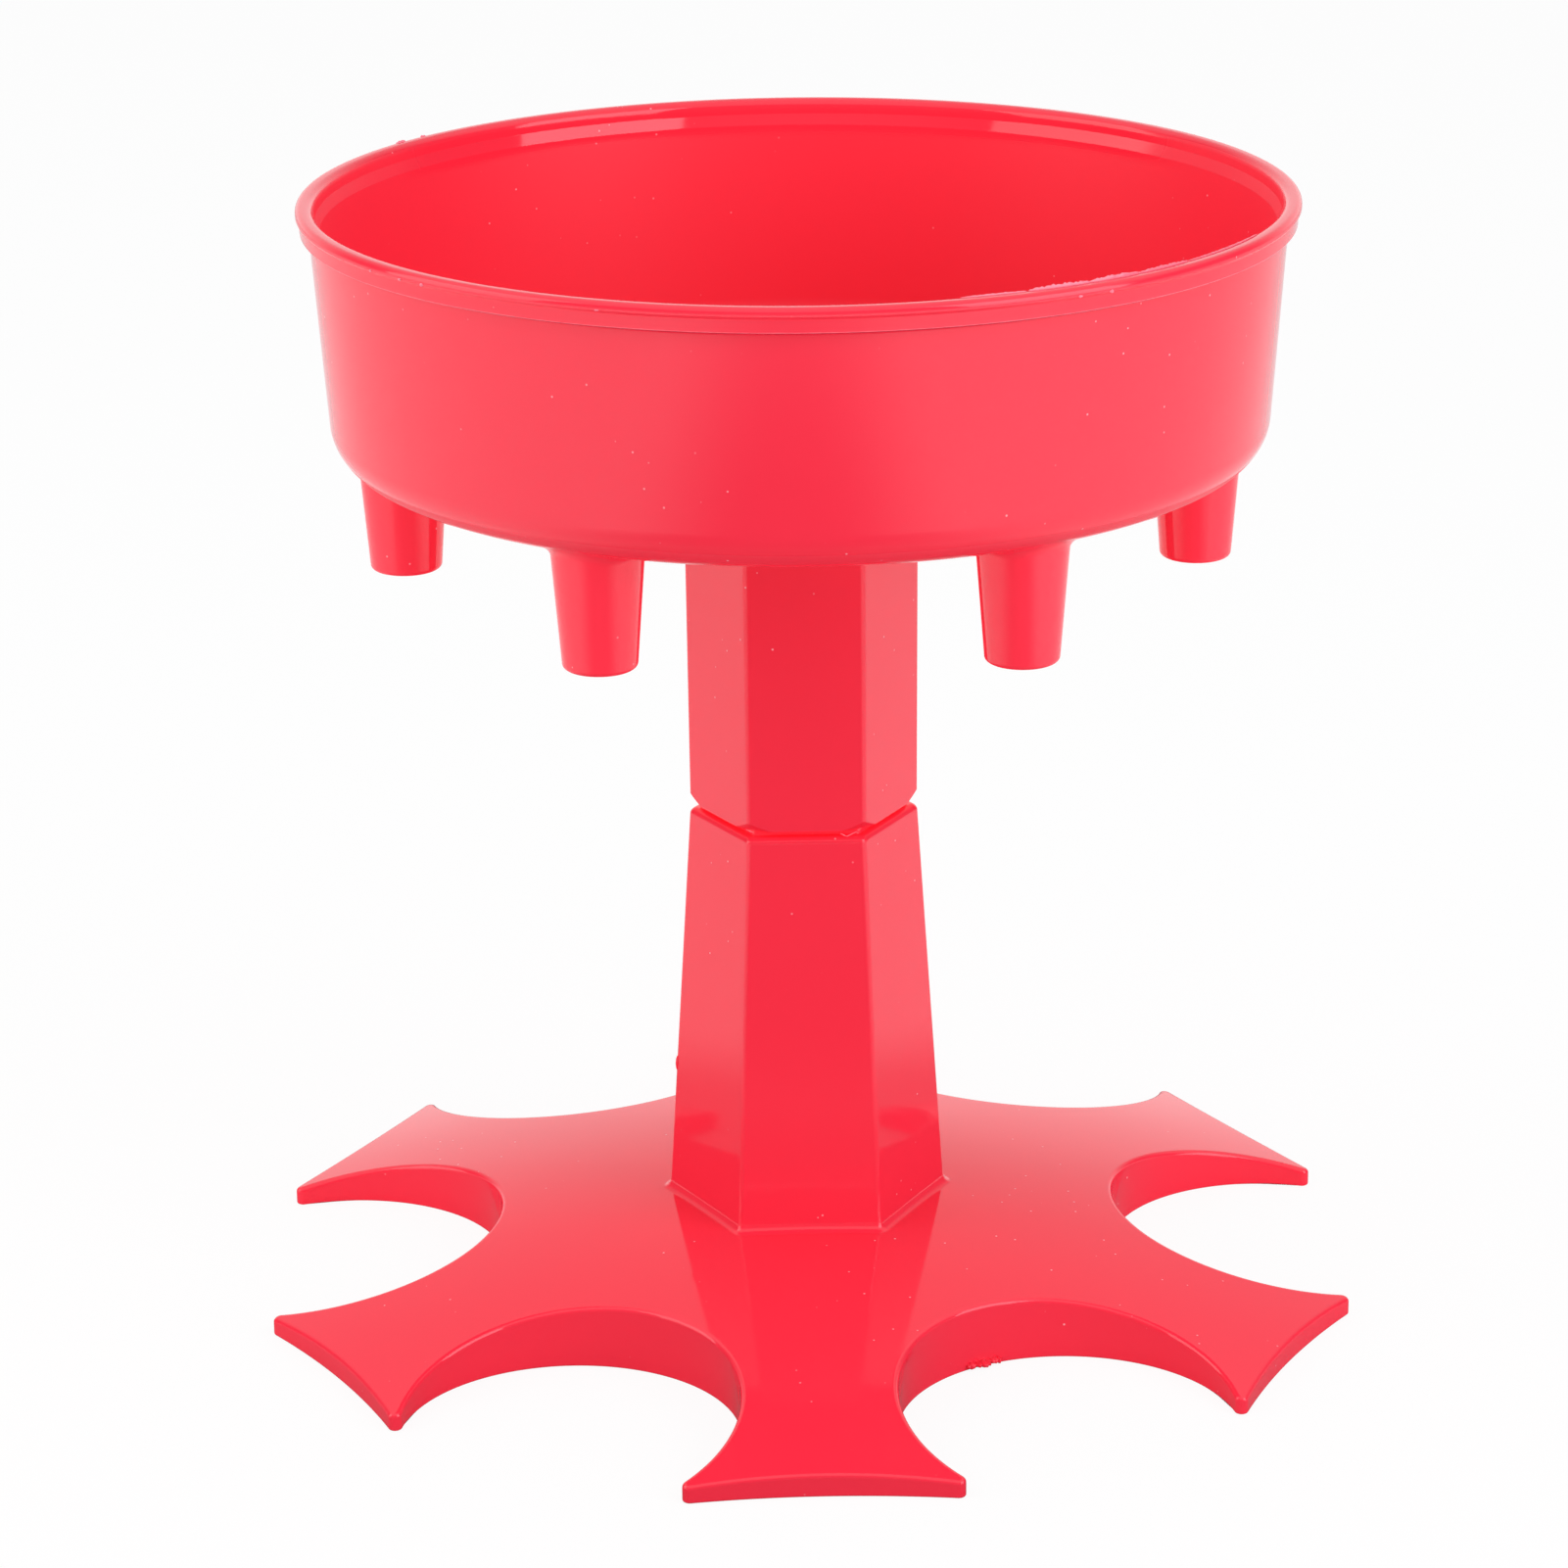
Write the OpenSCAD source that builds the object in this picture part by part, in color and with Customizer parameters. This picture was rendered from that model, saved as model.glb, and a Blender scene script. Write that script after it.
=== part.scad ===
// Six-way party shot dispenser: a round bowl with six spouts on a hexagonal column lifts off a
// star-shaped stand whose six round bays hold the glasses. Two injection mouldings, millimetres.
// Origin: centre of the stand's foot, on the table. +Z up, -Y towards the front arm.

/* [Bowl] */
// Outside diameter of the rim
rim_d = 138; // [137:0.5:146]
// Outside diameter of the wall, measured at the rim
bowl_top_d = 135; // [132:0.5:136]
// Outside diameter of the wall, measured at the underside
bowl_bottom_d = 130; // [129:0.5:133]
// Height of the bowl, underside to rim
bowl_h = 36; // [30:0.5:60]
// Thickness of the wall
bowl_wall = 1.5; // [1.2:0.1:2.2]
// Thickness of the floor
bowl_floor = 2; // [1.5:0.1:3]
// Outside radius between wall and underside
bowl_corner_r = 6; // [4:0.25:7]
// Rise of the floor's middle, which sends the drink out to the spouts
floor_crown = 2; // [1:0.25:4]

/* [Rim] */
// Height of the lip at the top of the rim
lip_h = 1.1; // [0.8:0.1:2.5]
// Step from the lip in to the band below it
lip_step = 0.4; // [0.2:0.05:0.6]
// Height of the band below the lip
band_h = 1.8; // [0.6:0.1:2.4]
// Height of the taper that ends the band at the wall
taper_h = 0.4; // [0.2:0.1:2]
// Radius on the rim's outer edge
rim_outer_r = 0.4; // [0.2:0.05:0.5]
// Radius on the rim's inner edge
rim_inner_r = 1.2; // [0.6:0.05:1.4]
// Height of the plain ring inside the rim, below its inner edge
mouth_h = 0.9; // [0.2:0.1:1.2]
// Height of the flare below that ring
flare_h = 1.6; // [1:0.1:4]
// How much the flare sets the ring back from the wall
flare_w = 0.5; // [0.2:0.05:0.7]

/* [Spouts] */
// Distance from the middle of the bowl to each spout
spout_pos_r = 55.6; // [54:0.1:56.4]
// Length of a spout below the bowl's underside
spout_h = 16.8; // [12:0.2:24]
// Outside diameter of a spout at its tip
spout_tip_d = 10; // [9:0.1:11]
// Outside diameter of a spout where it leaves the bowl
spout_root_d = 12.6; // [12:0.1:13.4]
// Wall of a spout
spout_wall = 2; // [1.5:0.1:2.3]
// Radius on the edge of a spout's tip
spout_edge_r = 0.8; // [0.4:0.05:1]

/* [Column] */
// Height of the upper half, seat to bowl
upper_h = 52.4; // [40:0.2:70]
// Height of the lower half's end above the table
joint_z = 70.8; // [55:0.2:90]
// Size of both halves across their flats, at the joint
joint_flats = 28.4; // [27:0.1:30]
// Size of the upper half across its flats, under the bowl
upper_top_flats = 28.8; // [28.4:0.1:31]
// Size of the lower half across its flats, at its foot
foot_flats = 35; // [33:0.1:38]
// Wall of the column
column_wall = 2.2; // [1.8:0.1:2.6]
// Radius on the column's upright corners
column_corner_r = 1; // [0.5:0.1:2]
// Reach, past its flats, of the cone that trims the corners of the upper half's end
end_reach = 0.7; // [0.3:0.05:1.5]
// Radius round the lower half's shoulder
shoulder_r = 1; // [0.6:0.1:1.4]
// Radius of the fillet round the column's foot
foot_fillet_r = 1.2; // [0.8:0.1:2.4]

/* [Peg] */
// Height of the seat round the peg, which leaves a narrow seam between the halves
seat_h = 0.8; // [0.4:0.1:1.2]
// Distance of the seat's edge in from the column's flats
seat_inset = 1.4; // [1.1:0.1:1.8]
// Height of the peg that keys the two halves
peg_h = 15; // [10:0.5:30]
// Clearance between the peg's flats and the socket's
peg_clearance = 0.25; // [0.15:0.05:0.5]
// Wall of the peg
peg_wall = 2; // [1.5:0.1:2.5]
// Bevel on the peg's end
peg_bevel = 1.5; // [0.5:0.1:2.5]

/* [Star base] */
// Diameter of the circle that the points of the arms lie on
star_d = 161; // [159:0.2:163]
// Diameter of the round bay for a glass
bay_d = 47; // [44:0.5:48]
// Distance from the middle to a bay's centre
bay_pos_r = 68.5; // [68:0.1:70]
// Distance from the middle to the end of an arm, on its centreline
arm_end = 77.3; // [76:0.1:78.5]
// Radius of the hollow end of an arm
arm_end_r = 125; // [100:1:200]
// Height of the domed top at its middle
dome_h = 12.5; // [11:0.1:14]
// Thickness at the end of an arm
arm_end_h = 3.3; // [2.8:0.1:4]
// Thickness of the dome's roof and of the skirt below it
base_wall = 2; // [1.6:0.1:2.5]
// Reach of the hollow underside, out from the middle
hollow_r = 68; // [62:0.5:70]

/* [Hidden] */

$fn = 96;
// Overlap that makes one solid of two neighbouring shapes, and clears a cut's far side
eps = 0.5;
// Six glasses round a six-sided column share one pitch
places = 6;
pitch = 360 / places;
// A column's radius to its corners, for each unit across its flats
to_corner = 0.5 / cos(pitch / 2);
// Steps in a small rounded edge of a profile
edge_steps = 6;
// Steps round each upright corner of a column, and in its other rounded edges
corner_steps = 4;
// Radius on the upright corners inside the column and on the peg
core_corner_r = 0.5;

seat_z = joint_z + seat_h;
bowl_z = seat_z + upper_h;
wall_lean = atan((bowl_top_d - bowl_bottom_d) / 2 / bowl_h);
flange_h = lip_h + lip_step + band_h + taper_h;
// Outside radius of the plain wall at a height above the underside
function wall_r(h) = bowl_bottom_d / 2 + h * tan(wall_lean);

spout_slope = (spout_root_d - spout_tip_d) / 2 / spout_h;
spout_bore_tip_r = spout_tip_d / 2 - spout_wall;

socket_flats = joint_flats - 2 * column_wall;
peg_flats = socket_flats - 2 * peg_clearance;
// Top of the socket, a floor's thickness under the crowned floor
socket_top = bowl_z + floor_crown;

// A ball whose cap is the domed top of the base
dome_r = (pow(arm_end, 2) + pow(dome_h - arm_end_h, 2)) / 2 / (dome_h - arm_end_h);

// Points of an arc about a centre, from angle a0 to a1
function arc(mid, r, a0, a1, steps) =
    [for (i = [0:steps]) let (a = a0 + (a1 - a0) * i / steps) mid + r * [cos(a), sin(a)]];

// Centre of the round that ends a floor corner: inside a leaning wall and on a level floor
function corner_mid(r_at_floor, r) =
    [r_at_floor - r * tan((90 - wall_lean) / 2), r];

// ---- bowl, spouts and upper column ----

// Half section of the bowl's outside, up to the rim
function bowl_outside() =
    let (mid = corner_mid(bowl_bottom_d / 2, bowl_corner_r))
    concat(
        [[0, 0]],
        arc(mid, bowl_corner_r, -90, -wall_lean, 3 * edge_steps),
        [
            [wall_r(bowl_h - flange_h), bowl_h - flange_h],
            [rim_d / 2 - lip_step, bowl_h - lip_h - lip_step - band_h],
            [rim_d / 2 - lip_step, bowl_h - lip_h - lip_step],
            [rim_d / 2, bowl_h - lip_h],
        ],
        arc([rim_d / 2 - rim_outer_r, bowl_h - rim_outer_r], rim_outer_r, 0, 90, edge_steps),
        [[0, bowl_h]]
    );

// Half section of the hollow inside: crowned floor, wall, flared mouth and rounded rim edge
function bowl_inside() =
    let (
        r = bowl_corner_r - bowl_wall,
        floor_edge = wall_r(bowl_floor) - bowl_wall,
        mid = corner_mid(floor_edge, r) + [0, bowl_floor],
        crown_r = (pow(mid[0], 2) + pow(floor_crown, 2)) / 2 / floor_crown,
        crown_mid = [0, bowl_floor + floor_crown - crown_r],
        mouth_r = wall_r(bowl_h) - bowl_wall + flare_w,
        round_mid = [mouth_r + rim_inner_r, bowl_h - rim_inner_r],
        flare_top = round_mid[1] - mouth_h,
        flare_foot = flare_top - flare_h
    )
    concat(
        arc(crown_mid, crown_r, 90, 90 - asin(mid[0] / crown_r), 2 * edge_steps),
        arc(mid, r, -90, -wall_lean, 3 * edge_steps),
        [
            [wall_r(flare_foot) - bowl_wall, flare_foot],
            [wall_r(flare_top) - bowl_wall + flare_w, flare_top],
        ],
        arc(round_mid, rim_inner_r, 180 - wall_lean, 90, edge_steps),
        [[round_mid[0], bowl_h + eps], [0, bowl_h + eps]]
    );

// Half section of a spout, measured up from its tip
function spout_section() =
    let (
        lean = atan(spout_slope),
        mid_r = spout_tip_d / 2 - spout_edge_r * tan((90 - lean) / 2),
        top = spout_h + bowl_floor / 2
    )
    concat(
        [[0, 0]],
        arc([mid_r, spout_edge_r], spout_edge_r, -90, -lean, edge_steps),
        [[spout_tip_d / 2 + top * spout_slope, top], [0, top]]
    );

// Places its children at every glass place, a bay's or a spout's, out from the middle
module at_places(r) {
    for (i = [0:places - 1])
        rotate(-90 + (i + 0.5) * pitch)
            translate([r, 0, 0])
                children();
}

module spout_bore() {
    past = spout_h + bowl_h / 2;
    translate([0, 0, -eps])
        cylinder(
            h = past + eps,
            r1 = spout_bore_tip_r - eps * spout_slope,
            r2 = spout_bore_tip_r + past * spout_slope
        );
}

// Outline of a column at a height: a hexagon across its flats, a flat to each arm, with
// rounded corners
function ring(z, flats, r) = [
    for (i = [0:places - 1], j = [0:corner_steps])
        let (
            corner = -90 + (i + 0.5) * pitch,
            a = corner + (j / corner_steps - 0.5) * pitch,
            mid = (flats - 2 * r) * to_corner
        )
        [mid * cos(corner) + r * cos(a), mid * sin(corner) + r * sin(a), z]
];

// Solid through a stack of such outlines, each a height and a size across flats
module loft(sections, r = column_corner_r) {
    n = places * (corner_steps + 1);
    last = len(sections) - 1;
    polyhedron(
        points = [for (s = sections) each ring(s[0], s[1], r)],
        faces = concat(
            [[for (i = [0:n - 1]) i]],
            [
                for (k = [0:last - 1], i = [0:n - 1])
                    let (next = (i + 1) % n)
                    [k * n + i, (k + 1) * n + i, (k + 1) * n + next, k * n + next]
            ],
            [[for (i = [n - 1:-1:0]) last * n + i]]
        ),
        convexity = 4
    );
}

// A straight hexagonal prism
module hex_prism(z0, z1, flats) {
    translate([0, 0, z0])
        rotate(-90 + pitch / 2)
            cylinder(h = z1 - z0, r = flats * to_corner, $fn = places);
}

// The upper half: a cone of 45 degrees trims the corners of its end and leaves the flats whole
module upper_column() {
    top = bowl_z + bowl_floor / 2;
    end_r = joint_flats / 2 + end_reach;
    intersection() {
        loft([[seat_z, joint_flats], [top, upper_top_flats]]);
        translate([0, 0, seat_z])
            cylinder(h = top - seat_z, r1 = end_r, r2 = end_r + top - seat_z);
    }
}

module dispenser_bowl() {
    color("crimson")
        difference() {
            union() {
                translate([0, 0, bowl_z])
                    difference() {
                        rotate_extrude(convexity = 4)
                            polygon(bowl_outside());
                        rotate_extrude(convexity = 4)
                            polygon(bowl_inside());
                    }
                upper_column();
                at_places(spout_pos_r)
                    translate([0, 0, bowl_z - spout_h])
                        rotate_extrude()
                            polygon(spout_section());
            }
            hex_prism(seat_z - eps, socket_top, socket_flats);
            at_places(spout_pos_r)
                translate([0, 0, bowl_z - spout_h])
                    spout_bore();
        }
}

// ---- star base, lower column and peg ----

// Outline of the star, drawn in from every edge by inset
module star(inset = 0) {
    difference() {
        circle(r = star_d / 2 - inset);
        at_places(bay_pos_r)
            circle(r = bay_d / 2 + inset);
        for (i = [0:places - 1])
            rotate(-90 + i * pitch)
                translate([arm_end + arm_end_r, 0])
                    circle(r = arm_end_r + inset, $fn = 4 * $fn);
    }
}

// The ball that domes the base, or the roof's inner side when it is drawn in
module dome(inset = 0) {
    translate([0, 0, dome_h - dome_r])
        sphere(r = dome_r - inset, $fn = 2 * $fn);
}

module base_plate() {
    intersection() {
        linear_extrude(dome_h + eps)
            star();
        dome();
    }
}

// The hollow underside: skirt and roof keep the base's wall
module base_hollow() {
    intersection() {
        translate([0, 0, -eps])
            linear_extrude(dome_h)
                intersection() {
                    star(base_wall);
                    circle(r = hollow_r);
                }
        dome(base_wall);
    }
}

// Height of the dome at the foot of the column
foot_z = dome_h - pow(foot_flats / 2 + foot_fillet_r, 2) / 2 / dome_r;
// Outside size of the lower half across its flats, at a height
function lower_flats(z) = joint_flats + (foot_flats - joint_flats) * (joint_z - z) / (joint_z - dome_h);

// Stack from the fillet on the dome, up the taper and over the rounded shoulder
module lower_column() {
    fillet = [
        for (p = arc([foot_fillet_r, foot_z + foot_fillet_r], foot_fillet_r, 270, 180, corner_steps))
            [p[1], lower_flats(p[1]) + 2 * p[0]]
    ];
    shoulder = [
        for (p = arc([-shoulder_r, joint_z - shoulder_r], shoulder_r, 0, 90, corner_steps))
            [p[1], lower_flats(joint_z) + 2 * p[0]]
    ];
    loft(concat([[foot_z - base_wall / 2, fillet[0][1]]], fillet, shoulder));
}

// The ring that the upper half stands on
module seat() {
    seat_flats = joint_flats - 2 * seat_inset;
    loft([[joint_z - base_wall, seat_flats], [seat_z, seat_flats]]);
}

module peg() {
    loft(
        [
            [joint_z - base_wall, peg_flats],
            [joint_z + peg_h - peg_bevel, peg_flats],
            [joint_z + peg_h, peg_flats - 2 * peg_bevel],
        ],
        core_corner_r
    );
}

// The core that hollows the column and the peg from beneath
module column_core() {
    top = joint_z - base_wall;
    loft(
        [
            [-eps, lower_flats(-eps) - 2 * column_wall],
            [top, lower_flats(top) - 2 * column_wall],
            [top, peg_flats - 2 * peg_wall],
            [joint_z + peg_h - peg_wall, peg_flats - 2 * peg_wall],
        ],
        core_corner_r
    );
}

module star_stand() {
    color("crimson")
        difference() {
            union() {
                base_plate();
                lower_column();
                seat();
                peg();
            }
            base_hollow();
            column_core();
        }
}

dispenser_bowl();
star_stand();
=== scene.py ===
"""Party shot dispenser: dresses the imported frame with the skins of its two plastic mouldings.

Sizes in the classes are millimetres in the frame's axes, with the front arm of the star towards
-Y. Every skin is worked out as grids of points with numpy, welded into one closed mesh.
"""

import logging
import math
from collections.abc import Callable
from dataclasses import dataclass, field
from enum import Enum
from functools import partial

import bmesh
import bpy
import numpy as np
from mathutils import Matrix, Vector


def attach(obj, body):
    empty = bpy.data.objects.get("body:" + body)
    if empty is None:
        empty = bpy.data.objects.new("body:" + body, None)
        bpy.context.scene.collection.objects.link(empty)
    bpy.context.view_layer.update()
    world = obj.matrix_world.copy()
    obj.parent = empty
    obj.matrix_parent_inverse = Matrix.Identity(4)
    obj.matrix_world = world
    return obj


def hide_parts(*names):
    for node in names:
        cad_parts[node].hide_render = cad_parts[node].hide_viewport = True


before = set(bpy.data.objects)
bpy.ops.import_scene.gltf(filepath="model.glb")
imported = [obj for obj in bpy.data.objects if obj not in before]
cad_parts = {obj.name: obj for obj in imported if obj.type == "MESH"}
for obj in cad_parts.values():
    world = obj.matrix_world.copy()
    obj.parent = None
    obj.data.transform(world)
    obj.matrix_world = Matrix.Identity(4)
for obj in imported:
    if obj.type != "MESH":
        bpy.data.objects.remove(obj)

log = logging.getLogger("dispenser")

MM = 0.001
PLACES = 6
PITCH = 60
QUARTER_HANDLE = 0.5523
WELD_M = 2e-6

Curve = Callable[[np.ndarray], np.ndarray]
Colour = tuple[float, float, float]
Span = tuple[float, float]


class Body(Enum):
    """The rigid bodies of the frame that a skin can ride on."""

    BOWL = "bowl"
    STAND = "stand"


# ---- curves and grids ----


def directions(degrees: np.ndarray) -> np.ndarray:
    """Unit vectors in plan at the given angles.

    Args:
        degrees: angles from +X, of any shape.

    Returns:
        An array with one more axis, holding (cosine, sine).
    """
    radians = np.radians(degrees)
    return np.stack([np.cos(radians), np.sin(radians)], -1)


def turned(points: np.ndarray, degrees: float) -> np.ndarray:
    """Points turned about the Z axis.

    Args:
        points: an array whose last axis holds x, y and perhaps z.
        degrees: the angle, counter-clockwise from above.

    Returns:
        A turned copy.
    """
    c, s = math.cos(math.radians(degrees)), math.sin(math.radians(degrees))
    out = points.copy()
    out[..., 0] = c * points[..., 0] - s * points[..., 1]
    out[..., 1] = s * points[..., 0] + c * points[..., 1]
    return out


def between(first: np.ndarray, last: np.ndarray, steps: int) -> np.ndarray:
    """Rows of straight lines from one row of points to another.

    Args:
        first: the row at the start.
        last: the row at the end.
        steps: how many spans lie between them.

    Returns:
        steps + 1 rows, (1 - t) * first + t * last.
    """
    t = np.linspace(0, 1, steps + 1).reshape((-1,) + (1,) * first.ndim)
    return (1 - t) * first + t * last


def cubic(
    first: np.ndarray, near: np.ndarray, far: np.ndarray, last: np.ndarray, steps: int
) -> np.ndarray:
    """Rows along cubics: s^3 first + 3 s^2 t near + 3 s t^2 far + t^3 last, where s = 1 - t.

    Args:
        first: the row at the start.
        near: the handles of its points.
        far: the handles of the last row's points.
        last: the row at the end.
        steps: how many spans lie between them.

    Returns:
        steps + 1 rows of points.
    """
    t = np.linspace(0, 1, steps + 1).reshape((-1,) + (1,) * first.ndim)
    s = 1 - t
    return s**3 * first + 3 * s**2 * t * near + 3 * s * t**2 * far + t**3 * last


def blended(first: np.ndarray, corner: np.ndarray, last: np.ndarray, steps: int) -> np.ndarray:
    """Rows of a fillet from first to last, tangent at both ends to its lines to the corner.

    Each column is a cubic whose handles reach QUARTER_HANDLE of the way to the corner, which
    draws a quarter of a circle where the corner is square.

    Args:
        first: the row where the fillet starts.
        corner: the row of sharp corners that it rounds.
        last: the row where it ends.
        steps: how many spans it has.

    Returns:
        steps + 1 rows of points.
    """
    near = first + QUARTER_HANDLE * (corner - first)
    far = last + QUARTER_HANDLE * (corner - last)
    return cubic(first, near, far, last, steps)


def rounded(points: list[tuple[float, float]], radii: list[float], steps: int = 5) -> np.ndarray:
    """A polyline whose inner corners are rounded.

    A corner of turning angle a and radius r is left r * tan(a / 2) before it, and the cubic in
    its place has handles of 4 / 3 * tan(a / 4) * r.

    Args:
        points: the corners.
        radii: a radius for each inner corner, 0 for a sharp one.
        steps: spans in each rounded corner.

    Returns:
        The points of the line, as rows of two numbers.
    """
    corners = np.array(points, float)
    line = [corners[:1]]
    for before, corner, after, r in zip(corners, corners[1:], corners[2:], radii):
        if r == 0:
            line.append(corner[None])
            continue
        into = (corner - before) / np.linalg.norm(corner - before)
        out = (after - corner) / np.linalg.norm(after - corner)
        turn = math.acos(float(np.clip(into @ out, -1, 1)))
        start = corner - into * r * math.tan(turn / 2)
        end = corner + out * r * math.tan(turn / 2)
        handle = 4 / 3 * math.tan(turn / 4) * r
        line.append(cubic(start, start + into * handle, end - out * handle, end, steps))
    line.append(corners[-1:])
    return np.concatenate(line)


def revolved(path: np.ndarray, degrees: np.ndarray) -> np.ndarray:
    """The grid that a path of (radius, height) sweeps about the Z axis.

    Args:
        path: rows of radius and height.
        degrees: the angles of the columns.

    Returns:
        A grid of points, one row for each point of the path.
    """
    flat = path[:, None, :1] * directions(degrees)[None]
    height = np.broadcast_to(path[:, None, 1:], flat.shape[:2] + (1,))
    return np.concatenate([flat, height], -1)


def raised(plan: np.ndarray, height: np.ndarray | float) -> np.ndarray:
    """Points in plan, given a height.

    Args:
        plan: an array whose last axis holds x and y.
        height: one height, or one for each point.

    Returns:
        The points with z as a third value.
    """
    z = np.broadcast_to(height, plan.shape[:-1])
    return np.concatenate([plan, z[..., None]], -1)


@dataclass
class Skin:
    """Grids of points, in millimetres, that weld into one closed mesh."""

    name: str
    grids: list[np.ndarray] = field(default_factory=list)

    def add(self, grid: np.ndarray) -> None:
        """Adds one grid of rows and columns."""
        self.grids.append(grid)

    def add_all_round(self, grid: np.ndarray, first: float) -> None:
        """Adds a grid six times about the Z axis, the first copy turned by an angle."""
        for i in range(PLACES):
            self.add(turned(grid, first + i * PITCH))

    def weld(self) -> bpy.types.Object:
        """Makes the mesh: joins the grids' shared borders and faces it outwards.

        Returns:
            The object, at the origin, with its place in its mesh.
        """
        faces, start = [], 0
        for grid in self.grids:
            rows, columns = grid.shape[:2]
            at = start + np.arange(rows * columns).reshape(rows, columns)
            corners = [at[:-1, :-1], at[1:, :-1], at[1:, 1:], at[:-1, 1:]]
            faces.append(np.stack(corners, -1).reshape(-1, 4))
            start += rows * columns
        points = np.concatenate([grid.reshape(-1, 3) for grid in self.grids]) * MM
        mesh = bpy.data.meshes.new(self.name)
        mesh.from_pydata(points.tolist(), [], np.concatenate(faces).tolist())
        shell = bmesh.new()
        shell.from_mesh(mesh)
        bmesh.ops.remove_doubles(shell, verts=shell.verts, dist=WELD_M)
        bmesh.ops.recalc_face_normals(shell, faces=shell.faces)
        open_edges = sum(not edge.is_manifold for edge in shell.edges)
        shell.to_mesh(mesh)
        shell.free()
        self._smooth(mesh)
        log.info("%s: %d faces, %d open edges", self.name, len(mesh.polygons), open_edges)
        made = bpy.data.objects.new(self.name, mesh)
        bpy.context.scene.collection.objects.link(made)
        return made

    @staticmethod
    def _smooth(mesh: bpy.types.Mesh) -> None:
        """Gives each point the mean normal of its faces, weighted by their area, so that a
        small rounded edge doesn't pull the flat beside it out of true.

        Args:
            mesh: the welded mesh.
        """
        mesh.calc_loop_triangles()
        count, triangles = len(mesh.vertices), len(mesh.loop_triangles)
        at = np.empty(count * 3, np.float32)
        mesh.vertices.foreach_get("co", at)
        at = at.reshape(-1, 3).astype(float)
        corners = np.empty(triangles * 3, np.int32)
        mesh.loop_triangles.foreach_get("vertices", corners)
        corners = corners.reshape(-1, 3)
        a, b, c = (at[corners[:, k]] for k in range(3))
        face = np.cross(b - a, c - a)
        normals = np.zeros((count, 3))
        for k in range(3):
            np.add.at(normals, corners[:, k], face)
        normals /= np.maximum(np.linalg.norm(normals, axis=1, keepdims=True), 1e-18)
        mesh.polygons.foreach_set("use_smooth", np.ones(len(mesh.polygons), bool))
        mesh.normals_split_custom_set_from_vertices(normals.tolist())


# ---- the hexagonal column, in both mouldings ----


@dataclass
class HexColumn:
    """Outlines of a hexagon with rounded corners, a flat towards each arm of the star."""

    corner_spans: int = 10
    flat_spans: int = 50

    def outline(self, flats: np.ndarray, corner_r: np.ndarray) -> np.ndarray:
        """Closed outlines in plan, 60 spans to a side, the first point on the front flat.

        About a corner's direction, the outline runs from the middle of one flat to an arc of
        corner_r, round it, and on to the middle of the next.

        Args:
            flats: sizes across the flats, one for each outline.
            corner_r: radii of the corners, one for each outline.

        Returns:
            A grid of x and y, one row for each outline.
        """
        mid = (flats - 2 * corner_r)[:, None] / math.sqrt(3) * np.array([[1.0, 0.0]])
        turn = directions(np.linspace(-30, 30, self.corner_spans + 1))
        arc = mid[:, None] + corner_r[:, None, None] * turn[None]
        half = self.flat_spans // 2
        ends = flats[:, None] / 2 * directions(np.array([-30.0]))
        before = np.moveaxis(between(ends, arc[:, 0], half), 0, 1)[:, :-1]
        after = before[:, ::-1] * np.array([1, -1])
        side = np.concatenate([before, arc, after[:, :-1]], 1)
        sides = [turned(side, -60 + PITCH * i) for i in range(PLACES)]
        loop = np.concatenate(sides, 1)
        return np.concatenate([loop, loop[:, :1]], 1)

    def wall(self, path: np.ndarray, corner_r: np.ndarray | float) -> np.ndarray:
        """The grid of a wall, from a path of (half the size across flats, height).

        Args:
            path: rows of half-size and height.
            corner_r: radius of the corners, or one for each row.

        Returns:
            A grid of points, closed all round.
        """
        radii = np.broadcast_to(corner_r, path.shape[:1]).astype(float)
        return raised(self.outline(path[:, 0] * 2, radii), path[:, 1:2])

    def trimmed_end(
        self, half: float, z: float, reach: float, edge_r: float, corner_r: float
    ) -> np.ndarray:
        """A lower end whose corners are trimmed by a cone of 45 degrees, with rounded edges.

        A ball of radius edge_r rolls inside the wall down to the cone, and on to the end's
        face, so that every column turns from the wall's normal to the cone's and then down.
        Where a flat stands inside the cone the two stops of the ball are one.

        Args:
            half: half the size across flats.
            z: height of the end's face.
            reach: how far the cone's end circle stands out from the flats.
            edge_r: radius of the edges.
            corner_r: radius of the upright corners.

        Returns:
            A grid of points, from the wall down to the end's face.
        """
        face = self.outline(np.array([2 * half]), np.array([corner_r]))[0]
        mid = self.outline(np.array([2 * (half - edge_r)]), np.array([corner_r - edge_r]))[0]
        flat = (face - mid) / edge_r
        far = np.linalg.norm(mid, axis=-1, keepdims=True)
        end_r = half + reach + edge_r * (1 - math.sqrt(2))
        rise = np.clip(far - end_r, 0, None)
        on_cone = np.clip(rise / edge_r, 0, 1)
        turn = np.linspace(0, 45, 4)
        grids = []
        for start, plan, lift in ((0, mid, rise), (45, mid * (1 - rise / far), 0 * rise)):
            share = (start + turn)[:, None, None] / 45
            out = flat + np.clip(share, 0, 1) * on_cone * (mid / far - flat)
            out /= np.linalg.norm(out, axis=-1, keepdims=True)
            tilt = np.radians(start + turn)[:, None, None]
            height = z + edge_r + lift - edge_r * np.sin(tilt)
            grids.append(raised(plan + edge_r * np.cos(tilt) * out, height[..., 0]))
        return np.concatenate(grids)

    def cap(self, half: float, height: float, corner_r: float) -> np.ndarray:
        """A flat end: rows that shrink from an outline to its middle."""
        rim = self.wall(np.array([[half, height]]), corner_r)[0]
        return between(rim, np.broadcast_to([0.0, 0.0, height], rim.shape), 6)


# ---- bowl moulding ----


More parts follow.
